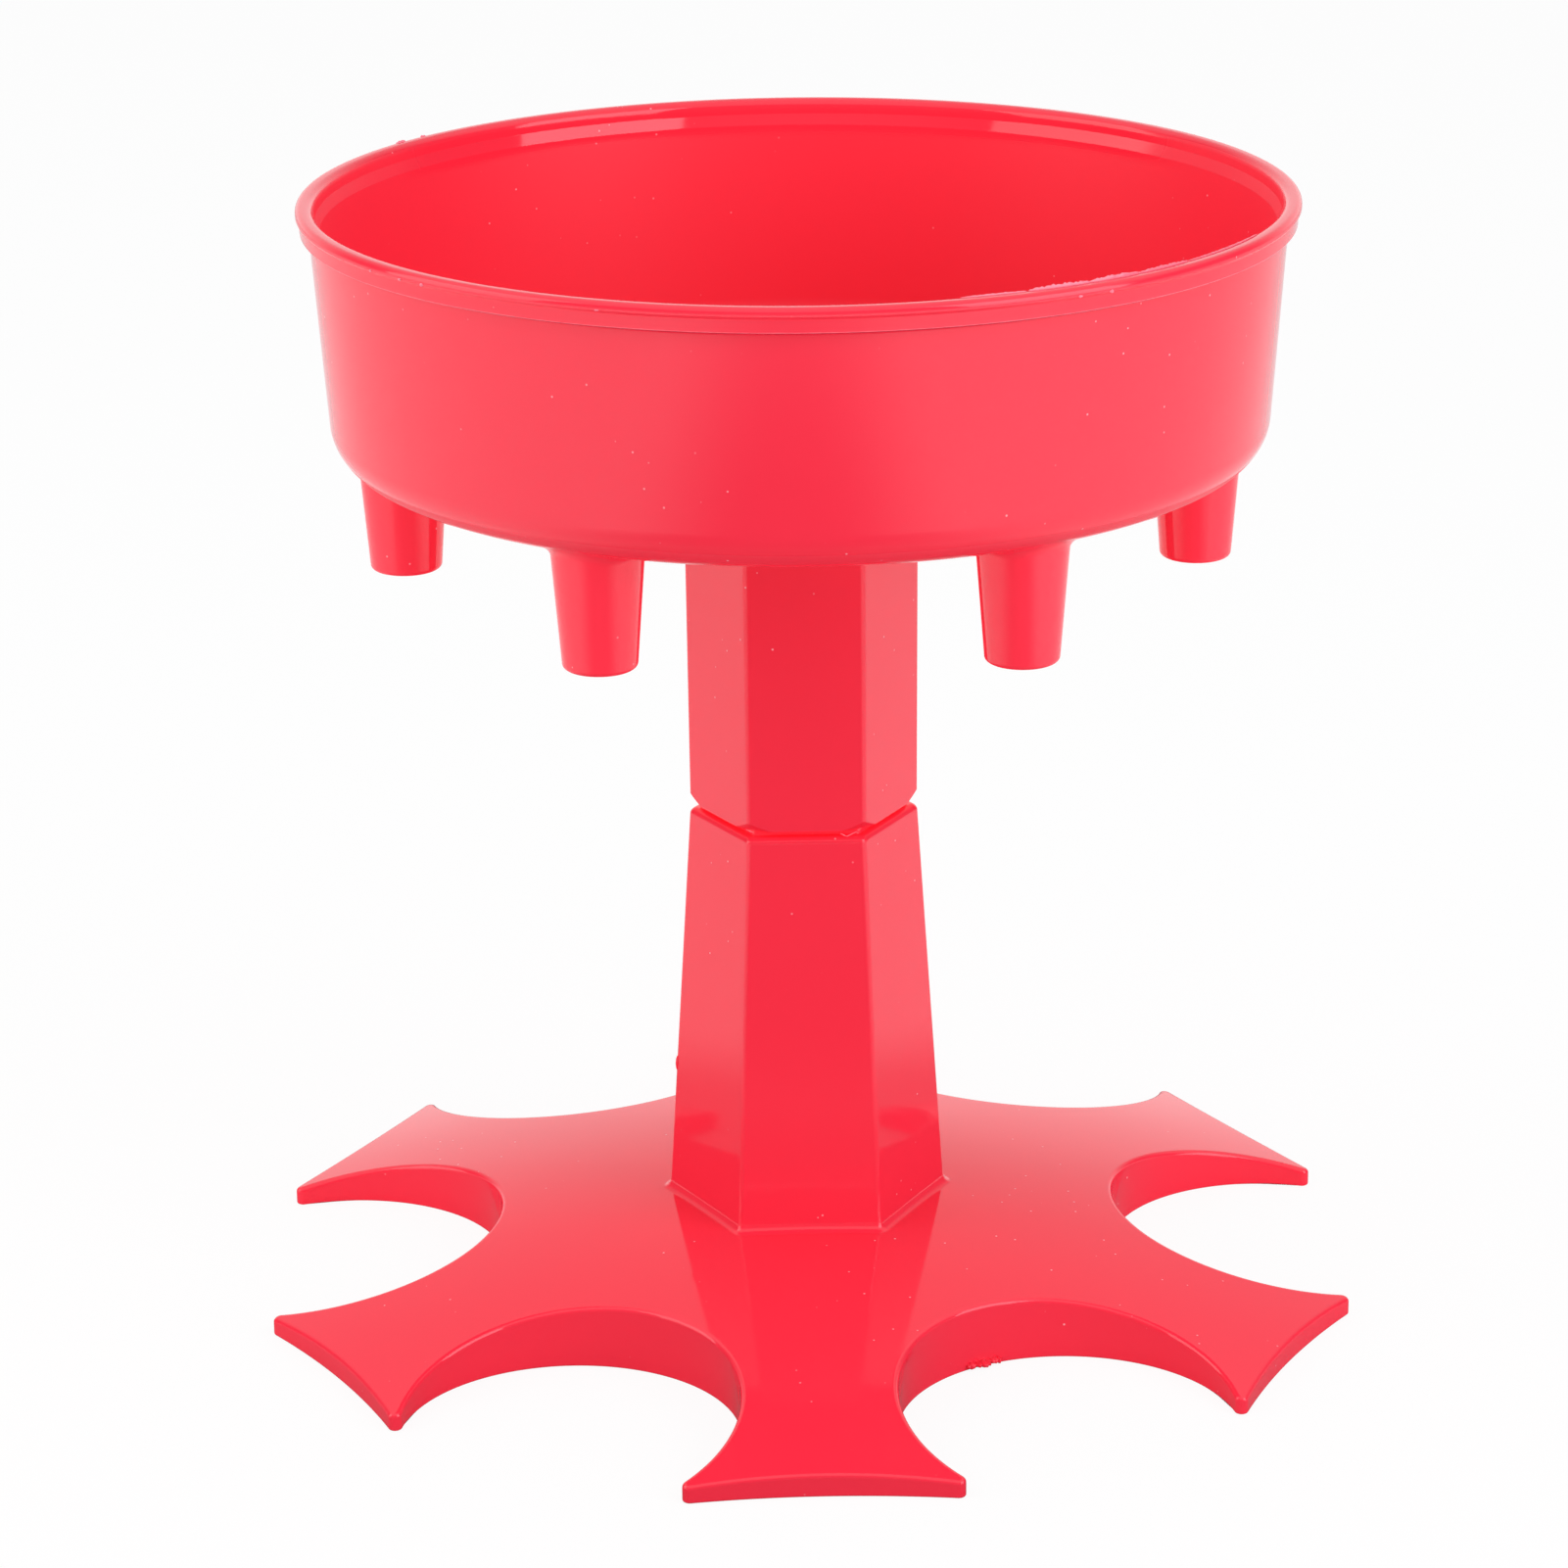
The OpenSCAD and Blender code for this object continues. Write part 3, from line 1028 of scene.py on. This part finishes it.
def bowl_flash(bowl: Bowl) -> bpy.types.Object:
    """The flash on the rim, at the foot of its band and at the upper column's lower end.

    Args:
        bowl: the moulding that it stands on.

    Returns:
        The piece.
    """
    top, lip = bowl.rim_z, bowl.rim_z - bowl.lip
    inner = bowl.top_r - bowl.wall + bowl.flare_w + bowl.inner_edge_r / 2
    outer = bowl.rim_r - 0.5
    column = bowl.joint_half + bowl.end_reach + 0.1
    band_r, band_z = bowl.band_foot()
    ridges = [
        Flash(-66.0, -57.6, inner, top, 0.24, 0.56),
        Flash(-58.2, -51.0, inner, top, 0.24, 0.62),
        Flash(-51.4, -43.0, inner, top, 0.2, 0.42),
        Flash(-44.0, -27.0, inner, top, 0.14, 0.2),
        Flash(-74.0, -66.0, inner, top, 0.16, 0.24),
        Flash(144.7, 146.5, outer, top - 0.15, 0.45, 0.55),
        Flash(140.9, 141.9, outer, top - 0.15, 0.35, 0.4),
        Flash(-180.0, 180.0, band_r, band_z + 0.05, 0.03, 0.035),
        Flash(-124.5, -119.5, column, bowl.seat_z, 0.1, 0.1, -0.3),
        Flash(-71.5, -67.6, column, bowl.seat_z - 0.2, 0.1, 0.1, -0.6),
        Flash(-68.0, -61.5, column, bowl.seat_z - 0.8, 0.09, 0.09, 0.5),
    ]
    crumbs = {-60.4: 0.28, -56.4: 0.38, -145.1: 0.2, -139.6: 0.24, -135.9: 0.28, -113.0: 0.16}
    half = 0.25
    for bearing, size in crumbs.items():
        ridges.append(Flash(bearing - half, bearing + half, bowl.rim_r, lip, size, size))
    return flash_skin("bowl_flash", ridges)


def stand_flash(stand: Stand) -> bpy.types.Object:
    """The flash on a corner of the lower column and at the foot of one bay.

    Args:
        stand: the moulding that it stands on.

    Returns:
        The piece.
    """
    nick_z, foot_z = 31.3, 0.7
    corner = stand.column_corner_r
    reach = (stand.half_at(nick_z) - corner) / math.cos(math.radians(PITCH / 2)) + corner
    ridges = [Flash(178.4, 181.6, reach - 0.15, nick_z, 0.45, 1.5)]
    bay = tuple(stand.bay_pos_r * directions(np.array(-PITCH)))
    for start, end, size in ((110, 115.5, 1.1), (114.5, 121, 1.7), (120, 124, 0.8)):
        ridges.append(Flash(start, end, stand.bay_r - 0.2, foot_z, size, 0.6, middle=bay))
    return flash_skin("stand_flash", ridges)


# ---- finish ----


class Value:
    """A socket of a shader, so that its maths can be written as Python expressions."""

    def __init__(self, tree: bpy.types.NodeTree, socket: bpy.types.NodeSocket) -> None:
        """Wraps one output socket of a tree."""
        self.tree = tree
        self.socket = socket

    def _math(self, operation: str, *values: "Value | float") -> "Value":
        """Adds one Math node.

        Args:
            operation: what it works out.
            values: its inputs, sockets or numbers.

        Returns:
            Its output.
        """
        node = self.tree.nodes.new("ShaderNodeMath")
        node.operation = operation
        for socket, value in zip(node.inputs, values):
            if isinstance(value, Value):
                self.tree.links.new(value.socket, socket)
            else:
                socket.default_value = value
        return Value(self.tree, node.outputs[0])

    def __add__(self, other: "Value | float") -> "Value":
        """Adds."""
        return self._math("ADD", self, other)

    def __radd__(self, other: float) -> "Value":
        """Adds to a number."""
        return self._math("ADD", other, self)

    def __sub__(self, other: "Value | float") -> "Value":
        """Subtracts."""
        return self._math("SUBTRACT", self, other)

    def __rsub__(self, other: float) -> "Value":
        """Subtracts from a number."""
        return self._math("SUBTRACT", other, self)

    def __mul__(self, other: "Value | float") -> "Value":
        """Multiplies."""
        return self._math("MULTIPLY", self, other)

    def __rmul__(self, other: float) -> "Value":
        """Multiplies a number."""
        return self._math("MULTIPLY", other, self)

    def __pow__(self, other: float) -> "Value":
        """Raises to a power."""
        return self._math("POWER", self, other)

    def __abs__(self) -> "Value":
        """Drops the sign."""
        return self._math("ABSOLUTE", self)


@dataclass
class Shader:
    """The node tree of one material or of the world."""

    tree: bpy.types.NodeTree

    def node(self, kind: str, settings: dict | None = None, **sockets: object) -> bpy.types.Node:
        """Adds a node.

        Args:
            kind: the node's type, without its "ShaderNode" prefix.
            settings: attributes to set first; "stops" gives a ramp's (position, colour) pairs.
            sockets: values or links for inputs, by name with underscores for spaces.

        Returns:
            The node.
        """
        made = self.tree.nodes.new("ShaderNode" + kind)
        for key, value in (settings or {}).items():
            if key == "stops":
                for element, (position, colour) in zip(self._stops(made, len(value)), value):
                    element.position, element.color = position, colour
            else:
                setattr(made, key, value)
        for key, value in sockets.items():
            socket = made.inputs[key.replace("_", " ")]
            if isinstance(value, Value):
                self.tree.links.new(value.socket, socket)
            else:
                socket.default_value = value
        return made

    @staticmethod
    def _stops(ramp: bpy.types.Node, count: int) -> bpy.types.ColorRampElements:
        """Gives a ramp as many stops as are wanted and returns them."""
        while len(ramp.color_ramp.elements) < count:
            ramp.color_ramp.elements.new(0.5)
        return ramp.color_ramp.elements

    def value(self, made: bpy.types.Node, output: str | int = 0) -> Value:
        """One output of a node, ready for maths."""
        return Value(self.tree, made.outputs[output])

    def step(self, value: Value, low: float, high: float) -> Value:
        """A smoothstep: 0 at low and 1 at high, which may be the lesser."""
        ends = {"From_Min": low, "From_Max": high, "To_Min": 0.0, "To_Max": 1.0}
        smooth = {"interpolation_type": "SMOOTHSTEP"}
        return self.value(self.node("MapRange", smooth, Value=value, **ends))

    def axes(self, vector: Value) -> tuple[Value, Value, Value]:
        """The x, y and z of a place or direction."""
        parts = self.node("SeparateXYZ", Vector=vector)
        return tuple(self.value(parts, axis) for axis in "XYZ")

    def length(self, vector: Value) -> Value:
        """The length of a vector."""
        return self.value(self.node("VectorMath", {"operation": "LENGTH"}, Vector=vector), "Value")

    def tinted(self, share: Value, first: Value | tuple, second: tuple) -> Value:
        """Mixes two colours.

        Args:
            share: how much of the second there is.
            first: the first colour, or the output that gives it.
            second: the second colour.

        Returns:
            The mixed colour.
        """
        mixed = self.node("Mix", {"data_type": "RGBA"})
        self.tree.links.new(share.socket, mixed.inputs["Factor"])
        mixed.inputs["B"].default_value = (*second, 1)
        if isinstance(first, Value):
            self.tree.links.new(first.socket, mixed.inputs["A"])
        else:
            mixed.inputs["A"].default_value = (*first, 1)
        return self.value(mixed, "Result")


@dataclass
class Surface(Shader):
    """The node tree of a moulding's material, with the place on it in object coordinates."""

    def __post_init__(self) -> None:
        """Adds the coordinates."""
        self.place = self.value(self.node("TexCoord"), "Object")
        self.x, self.y, self.z = self.axes(self.place)

    def reach(self) -> Value:
        """Distance from the moulding's axis, in metres."""
        return (self.x * self.x + self.y * self.y) ** 0.5

    def fade(self, value: Value, low: float, high: float) -> Value:
        """A smoothstep on a value in metres, between two ends in millimetres."""
        return self.step(value, low * MM, high * MM)

    def noise(self, scale: float, detail: float, roughness: float) -> Value:
        """A noise of the given scale, in waves to a metre."""
        made = self.node("TexNoise", Vector=self.place, Scale=scale, Detail=detail, Roughness=roughness)
        return self.value(made)


@dataclass(frozen=True)
class MouldedPlastic:
    """Glossy dyed plastic as it leaves a polished mould.

    The scales are of noises, in waves to a metre.
    """

    name: str
    colour: Colour = (0.935, 0.028, 0.06)
    shade: Colour = (0.925, 0.025, 0.055)
    # colour of the dust specks, and of the pale line that is partly a painted highlight
    dust_and_highlight: Colour = (0.98, 0.4, 0.46)
    roughness: float = 0.07
    dust_roughness: float = 0.25
    smear: float = 0.05
    ripple_mm: float = 0.02
    grain_scale: float = 900.0
    cloud_scale: float = 28.0
    smear_scale: float = 60.0
    ripple_scale: float = 45.0
    dusty_scale: float = 35.0
    speck_mm: float = 0.2
    speck_gap_mm: float = 2.8
    seam_mm: Span = (70.8, 71.6)
    # painted glow: red emission in the seam at the joint, which lifts its shade
    painted_seam_glow: Colour = (0.14, 0.0, 0.0)

    def dulled(self, on: Surface) -> Value | float:
        """What is added to the roughness, by place."""
        return 0.0

    def scuff_and_highlight_line(self, on: Surface) -> Value | float:
        """Where a pale line lies, from 0 to 1: partly a scuff and partly a painted highlight."""
        return 0.0

    def painted_glow_colour(self, on: Surface) -> Value | tuple:
        """The colour of the painted glow, emission that stands in for light through the walls, by
        place.
        """
        return (0.0, 0.0, 0.0)

    def glow(self, on: Surface) -> Value:
        """Painted glow: emission that stands in for the light through the walls and through the thin
        edges at the joint, and lifts the shade in the seam.

        Args:
            on: the surface.

        Returns:
            The colour for Emission Color.
        """
        low, high = self.seam_mm
        edges = on.fade(abs(on.z - (low + high) / 2 * MM), high - low, (high - low) / 2)
        return on.tinted(edges, self.painted_glow_colour(on), self.painted_seam_glow)

    def specks(self, on: Surface) -> Value:
        """Dust: little balls about the points of a cell pattern, thicker in some areas.

        Args:
            on: the surface.

        Returns:
            A mask, 1 on a speck.
        """
        scale = 1 / (self.speck_gap_mm * MM)
        cells = on.node("TexVoronoi", Vector=on.place, Scale=scale)
        reach = self.speck_mm * MM * scale
        area = on.step(on.noise(self.dusty_scale, 2.0, 0.5), 0.42, 0.6)
        return on.step(on.value(cells, "Distance"), reach, 0.4 * reach) * area

    def material(self) -> bpy.types.Material:
        """Builds the material: dye clouds, dusty specks, smears in the gloss, a faint ripple, a pale
        line that is partly a painted highlight, and a painted glow.

        Returns:
            The material.
        """
        material = bpy.data.materials.new(self.name)
        material.use_nodes = True
        material.node_tree.nodes.clear()
        on = Surface(material.node_tree)
        grain = on.noise(self.grain_scale, 3.0, 0.6)
        cloud = on.noise(self.cloud_scale, 2.0, 0.5) * 0.8 + grain * 0.2
        smear = on.noise(self.smear_scale, 4.0, 0.65) - 0.5
        ripple = on.noise(self.ripple_scale, 1.0, 0.4) + grain * 0.02
        pale = self.specks(on) + self.scuff_and_highlight_line(on)
        colour = on.tinted(pale, on.tinted(cloud, self.shade, self.colour), self.dust_and_highlight)
        rough = self.roughness + smear * self.smear + pale * self.dust_roughness
        bump = on.node("Bump", Strength=1.0, Distance=self.ripple_mm * MM, Height=ripple)
        surface = on.node(
            "BsdfPrincipled",
            Base_Color=colour,
            Roughness=rough + self.dulled(on),
            IOR=1.5,
            Normal=on.value(bump, "Normal"),
            # painted glow: emission that stands in for light through the plastic
            Emission_Color=self.glow(on),
            Emission_Strength=1.0,
        )
        on.node("OutputMaterial", Surface=on.value(surface))
        return material


@dataclass(frozen=True)
class BowlPlastic(MouldedPlastic):
    """The same plastic on the bowl: duller inside, with a pale line at the rim that is partly scuff and
    partly painted highlight, and a painted glow that stands in for light from behind through the wall.

    Spans are the two ends of a smooth change, in millimetres.
    """

    bowl: Bowl = field(default_factory=Bowl)
    inside_dulling: float = 0.4
    flare_dulling: float = 0.4
    glossy_back_mm: Span = (46.0, 30.0)
    flare_fade_mm: float = 2.0
    rim_dulling: float = 0.12
    worn_mm: float = 0.9
    inside_fade_mm: float = 0.2
    scuff_and_highlight: float = 0.12
    scuff_and_highlight_scale: float = 260.0
    scuff_and_highlight_mm: Span = (0.22, 0.08)
    flange_mm: Span = (0.2, 0.6)
    under_mm: Span = (20.0, 30.0)
    under_fade_mm: float = 5.0
    edge_mm: Span = (0.4, 0.2)
    below_band_mm: float = 0.55
    # painted glow inside the bowl, standing in for light through the wall
    through: Colour = (0.05, 0.002, 0.004)
    # painted glow outside, under the round corner and in two rings at the rim, which lifts the shade
    # there
    thin: Colour = (0.11, 0.005, 0.006)

    def _inside(self, on: Surface) -> Value:
        """A mask of the bowl's inner face.

        The face lies nearer to the axis than the middle of the leaning wall, and above the
        middle of the floor.

        Args:
            on: the surface.

        Returns:
            The mask.
        """
        bowl = self.bowl
        slope = (bowl.top_r - bowl.bottom_r) / bowl.height
        middle = on.z * slope + (bowl.bottom_r - bowl.wall / 2 - slope * bowl.underside_z) * MM
        floor = bowl.underside_z + bowl.floor / 2
        fade = self.inside_fade_mm
        return on.fade(middle - on.reach(), 0.0, fade) * on.fade(on.z, floor, floor + fade)

    def _flange(self, on: Surface) -> Value:
        """A mask of the rim's outer faces, beyond the plain wall."""
        low, high = self.flange_mm
        return on.fade(on.reach(), self.bowl.top_r + low, self.bowl.top_r + high)

    def dulled(self, on: Surface) -> Value:
        """Duller below the flare inside and on the flare's sides, and worn on top of the rim.

        Args:
            on: the surface.

        Returns:
            What is added to the roughness.
        """
        bowl = self.bowl
        inside = self._inside(on)
        flare = bowl.rim_z - bowl.inner_edge_r - bowl.mouth - bowl.flare
        wall = inside * on.fade(on.z, flare, flare - self.flare_fade_mm)
        side = inside * (1 - wall) * on.fade(on.y, *self.glossy_back_mm)
        worn = on.fade(on.z, bowl.rim_z - self.worn_mm, bowl.rim_z) * self.rim_dulling
        return wall * self.inside_dulling + side * self.flare_dulling + worn

    def scuff_and_highlight_line(self, on: Surface) -> Value:
        """A broken pale line along the band's lower edge: partly a scuff where the mould parted, partly
        a painted highlight on that edge.

        Args:
            on: the surface.

        Returns:
            How pale it is.
        """
        off = abs(on.z - self.bowl.band_foot()[1] * MM)
        # painted highlight: the pale line also stands in for the light that the band's lower edge
        # catches
        line = on.fade(off, *self.scuff_and_highlight_mm) * self._flange(on)
        broken = on.step(on.noise(self.scuff_and_highlight_scale, 2.0, 0.6), 0.3, 0.7)
        return line * broken * self.scuff_and_highlight

    def painted_glow_colour(self, on: Surface) -> Value:
        """Painted glow: red emission that stands in for light through the thin wall, inside, below the
        round corner and at the rim.

        Outside, it fades in under the round corner, away from the column, and it shows in two narrow
        rings, at the lip's foot and just below the band's, where it lifts the shade under the lip and
        the band.

        Args:
            on: the surface.

        Returns:
            The colour of the light.
        """
        bowl = self.bowl
        inside = self._inside(on)
        low = bowl.underside_z + bowl.corner_r
        under = on.fade(on.z, low, low - self.under_fade_mm) * on.fade(on.reach(), *self.under_mm)
        heights = (bowl.rim_z - bowl.lip - bowl.step / 2, bowl.band_foot()[1] - self.below_band_mm)
        rings = [on.fade(abs(on.z - height * MM), *self.edge_mm) for height in heights]
        # painted glow: lifts the shade under the round corner, under the lip and under the band
        thin = under + (rings[0] + rings[1]) * self._flange(on)
        outside = on.tinted(thin * (1 - inside), (0.0, 0.0, 0.0), self.thin)
        return on.tinted(inside, outside, self.through)


# ---- studio ----


@dataclass(frozen=True)
class SoftBox:
    """A rectangular lamp, at a bearing from the front, counter-clockwise from above."""

    name: str
    bearing: float
    elevation: float
    distance: float
    width: float
    height: float
    radiance: float
    tint: Colour = (1.0, 1.0, 1.0)
    mirrored: bool = True


@dataclass
class Studio:
    """Camera, floor and light, in millimetres and degrees."""

    camera_at: tuple[float, float, float] = (-16.3, -664.0, 301.4)
    yaw: float = 1.165
    pitch: float = -18.90
    roll: float = -0.604
    focal_px: float = 5005.5
    frame_px: float = 1601.0
    sensor_mm: float = 36.0
    floor_m: float = 3.0
    whiteness: float = 0.92
    seen_paper: float = 0.9
    paper: float = 0.95
    # painted shade: grey of the patch in front, seen by reflections and bounced light
    dusk: float = 0.16
    dusk_rim: Span = (0.3, 1.0)
    # painted shade: how dark reflections see the floor close to the object
    painted_shade_near_object: float = 0.45
    painted_shade_r: Span = (95.0, 130.0)
    dusk_at: tuple[float, float, float] = (-20.0, -275.0, 0.0)
    dusk_size: tuple[float, float, float] = (240.0, 345.0, 100.0)
    behind: Span = (0.45, 0.9)
    aim_z: float = 80.0
    heights: tuple[float, ...] = (0.1, 0.25, 0.45, 0.7)
    backdrop: tuple[float, ...] = (1.2, 1.05, 0.7, 0.55)
    sides: tuple[float, ...] = (0.12, 0.12, 0.12, 0.94)
    boxes: tuple[SoftBox, ...] = (
        SoftBox("soft_box_right", 54, 22, 1000, 730, 800, 2.7, tint=(0.97, 1.0, 1.1)),
        SoftBox("soft_box_left", -81, 22, 1000, 800, 800, 1.9),
        SoftBox("front_fill", -14, 10, 1000, 1400, 250, 2.8, mirrored=False),
    )

    def add_camera(self) -> None:
        """Stands the camera where the photograph was taken from."""
        yaw, pitch, roll = (math.radians(v) for v in (self.yaw, self.pitch, self.roll))
        look = np.array(
            [
                math.sin(yaw) * math.cos(pitch),
                math.cos(yaw) * math.cos(pitch),
                math.sin(pitch),
            ]
        )
        level = np.array([math.cos(yaw), -math.sin(yaw), 0])
        high = np.cross(level, look)
        right = math.cos(roll) * level + math.sin(roll) * high
        up = math.cos(roll) * high - math.sin(roll) * level
        data = bpy.data.cameras.new("camera")
        data.sensor_width = self.sensor_mm
        data.lens = self.sensor_mm * self.focal_px / self.frame_px
        data.clip_start, data.clip_end = 0.01, 50
        camera = bpy.data.objects.new("camera", data)
        axes = Matrix([right, up, -look]).transposed().to_4x4()
        axes.translation = [v * MM for v in self.camera_at]
        camera.matrix_world = axes
        bpy.context.scene.collection.objects.link(camera)
        bpy.context.scene.camera = camera

    def add_floor(self) -> None:
        """A wide floor of white paper with a grey patch in front of the object, painted shade for the
        dimmer light there.

        The camera sees it white with a trace of the object's shadow. The patch lies nearer than the
        camera's view: its grey follows a smoothstep on the distance from the patch's middle, in units
        of its size. Reflections show the floor darker close to the object: painted shade that stands in
        for the object's shadow there.
        """
        mesh = bpy.data.meshes.new("studio_floor")
        corners = self.floor_m * np.array([[-1, -1, 0], [1, -1, 0], [1, 1, 0], [-1, 1, 0]])
        mesh.from_pydata(corners.tolist(), [], [[0, 1, 2, 3]])
        floor = bpy.data.objects.new("studio_floor", mesh)
        bpy.context.scene.collection.objects.link(floor)
        material = bpy.data.materials.new("studio_white")
        material.use_nodes = True
        material.node_tree.nodes.clear()
        shader = Shader(material.node_tree)
        place = shader.value(shader.node("TexCoord"), "Object")
        patch = shader.node("Mapping", {"vector_type": "TEXTURE"}, Vector=place)
        patch.inputs["Location"].default_value = [v * MM for v in self.dusk_at]
        patch.inputs["Scale"].default_value = [v * MM for v in self.dusk_size]
        away, out = shader.length(shader.value(patch)), shader.length(place)
        # painted shade: the grey patch stands in for dimmer light in front of the object
        grey = self.dusk + shader.step(away, *self.dusk_rim) * (self.paper - self.dusk)
        path = shader.node("LightPath")
        seen, mirrored = (shader.value(path, "Is %s Ray" % kind) for kind in ("Camera", "Glossy"))
        # painted shade: reflections see the floor darker close to the object
        close = shader.step(out, self.painted_shade_r[1] * MM, self.painted_shade_r[0] * MM) * mirrored
        tone = grey * (1 - close * (1 - self.painted_shade_near_object))
        lit = shader.value(shader.node("BsdfDiffuse", Color=tone))
        paper = shader.value(shader.node("BsdfDiffuse", Color=(*[self.seen_paper] * 3, 1)))
        white = shader.value(shader.node("Emission", Color=(1, 1, 1, 1), Strength=1.0))
        for_camera = self._mix(shader, self.whiteness, paper, white)
        shader.node("OutputMaterial", Surface=self._mix(shader, seen, lit, for_camera))
        mesh.materials.append(material)

    @staticmethod
    def _mix(shader: Shader, share: Value | float, first: Value, second: Value) -> Value:
        """Mixes two surfaces, share of the second."""
        mixed = shader.node("MixShader", Fac=share)
        shader.tree.links.new(first.socket, mixed.inputs[1])
        shader.tree.links.new(second.socket, mixed.inputs[2])
        return shader.value(mixed)

    def add_room(self) -> None:
        """A dim room with a bright backdrop and a white ceiling.

        The world's brightness is a blend of two ramps on the height of the direction, one for
        the backdrop and one for the other sides, by a smoothstep on how far it points to the
        back.
        """
        world = bpy.data.worlds.new("studio")
        bpy.context.scene.world = world
        world.use_nodes = True
        world.node_tree.nodes.clear()
        shader = Shader(world.node_tree)
        _, y, z = shader.axes(shader.value(shader.node("TexCoord"), "Generated"))
        back, sides = (self._climb(shader, levels, z) for levels in (self.backdrop, self.sides))
        seen = shader.value(shader.node("LightPath"), "Is Camera Ray")
        lit = sides + shader.step(y, *self.behind) * (back - sides)
        strength = seen + (1 - seen) * lit
        glow = shader.node("Background", Color=(1, 1, 1, 1), Strength=strength)
        shader.node("OutputWorld", Surface=shader.value(glow))

    def _climb(self, shader: Shader, levels: tuple[float, ...], height: Value) -> Value:
        """A ramp through one level for each of the room's heights."""
        stops = [(at, (level, level, level, 1)) for at, level in zip(self.heights, levels)]
        return shader.value(shader.node("ValToRGB", {"stops": stops}, Fac=height))

    def add_soft_boxes(self) -> None:
        """The soft boxes, each facing the middle of the object."""
        for box in self.boxes:
            data = bpy.data.lights.new(box.name, "AREA")
            data.shape = "RECTANGLE"
            data.size, data.size_y = box.width * MM, box.height * MM
            data.energy = box.radiance * math.pi * data.size * data.size_y
            data.color = box.tint
            light = bpy.data.objects.new(box.name, data)
            out = directions(np.array(box.bearing - 90))
            climb = math.radians(box.elevation)
            to = Vector([out[0] * math.cos(climb), out[1] * math.cos(climb), math.sin(climb)])
            light.location = Vector([0, 0, self.aim_z * MM]) + to * box.distance * MM
            light.rotation_mode = "QUATERNION"
            light.rotation_quaternion = to.to_track_quat("Z", "Y")
            light.visible_camera = False
            light.visible_glossy = box.mirrored
            bpy.context.scene.collection.objects.link(light)

    def build(self) -> None:
        """Sets up the whole studio."""
        bpy.context.scene.view_settings.view_transform = "Standard"
        self.add_camera()
        self.add_floor()
        self.add_room()
        self.add_soft_boxes()


def dress(piece: bpy.types.Object, body: Body, material: bpy.types.Material, node: str = "") -> None:
    """Gives a piece its finish and its place in the frame.

    Args:
        piece: the skin, or its flash.
        body: the body that it moves with.
        material: what it is moulded from.
        node: the frame's node that it stands for, if it stands for one.
    """
    piece.data.materials.append(material)
    if node:
        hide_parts(node)
    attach(piece, body.value)
    log.info("%s rides on %s", piece.name, body.value)


def main() -> None:
    """Builds both mouldings and the studio."""
    logging.basicConfig(level=logging.INFO, format="%(name)s: %(message)s")
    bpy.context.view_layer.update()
    bowl, stand = Bowl(), Stand()
    bowl_red = BowlPlastic("coral_red_bowl").material()
    stand_red = MouldedPlastic("coral_red_stand").material()
    pale = MouldedPlastic("coral_red_flash", colour=(0.97, 0.26, 0.34), shade=(0.96, 0.2, 0.28))
    flash_red = pale.material()
    dress(bowl.build(), Body.BOWL, bowl_red, "dispenser_bowl")
    dress(bowl_flash(bowl), Body.BOWL, flash_red)
    dress(stand.build(), Body.STAND, stand_red, "star_stand")
    dress(stand_flash(stand), Body.STAND, stand_red)
    Studio().build()


if __name__ == "__main__":
    main()
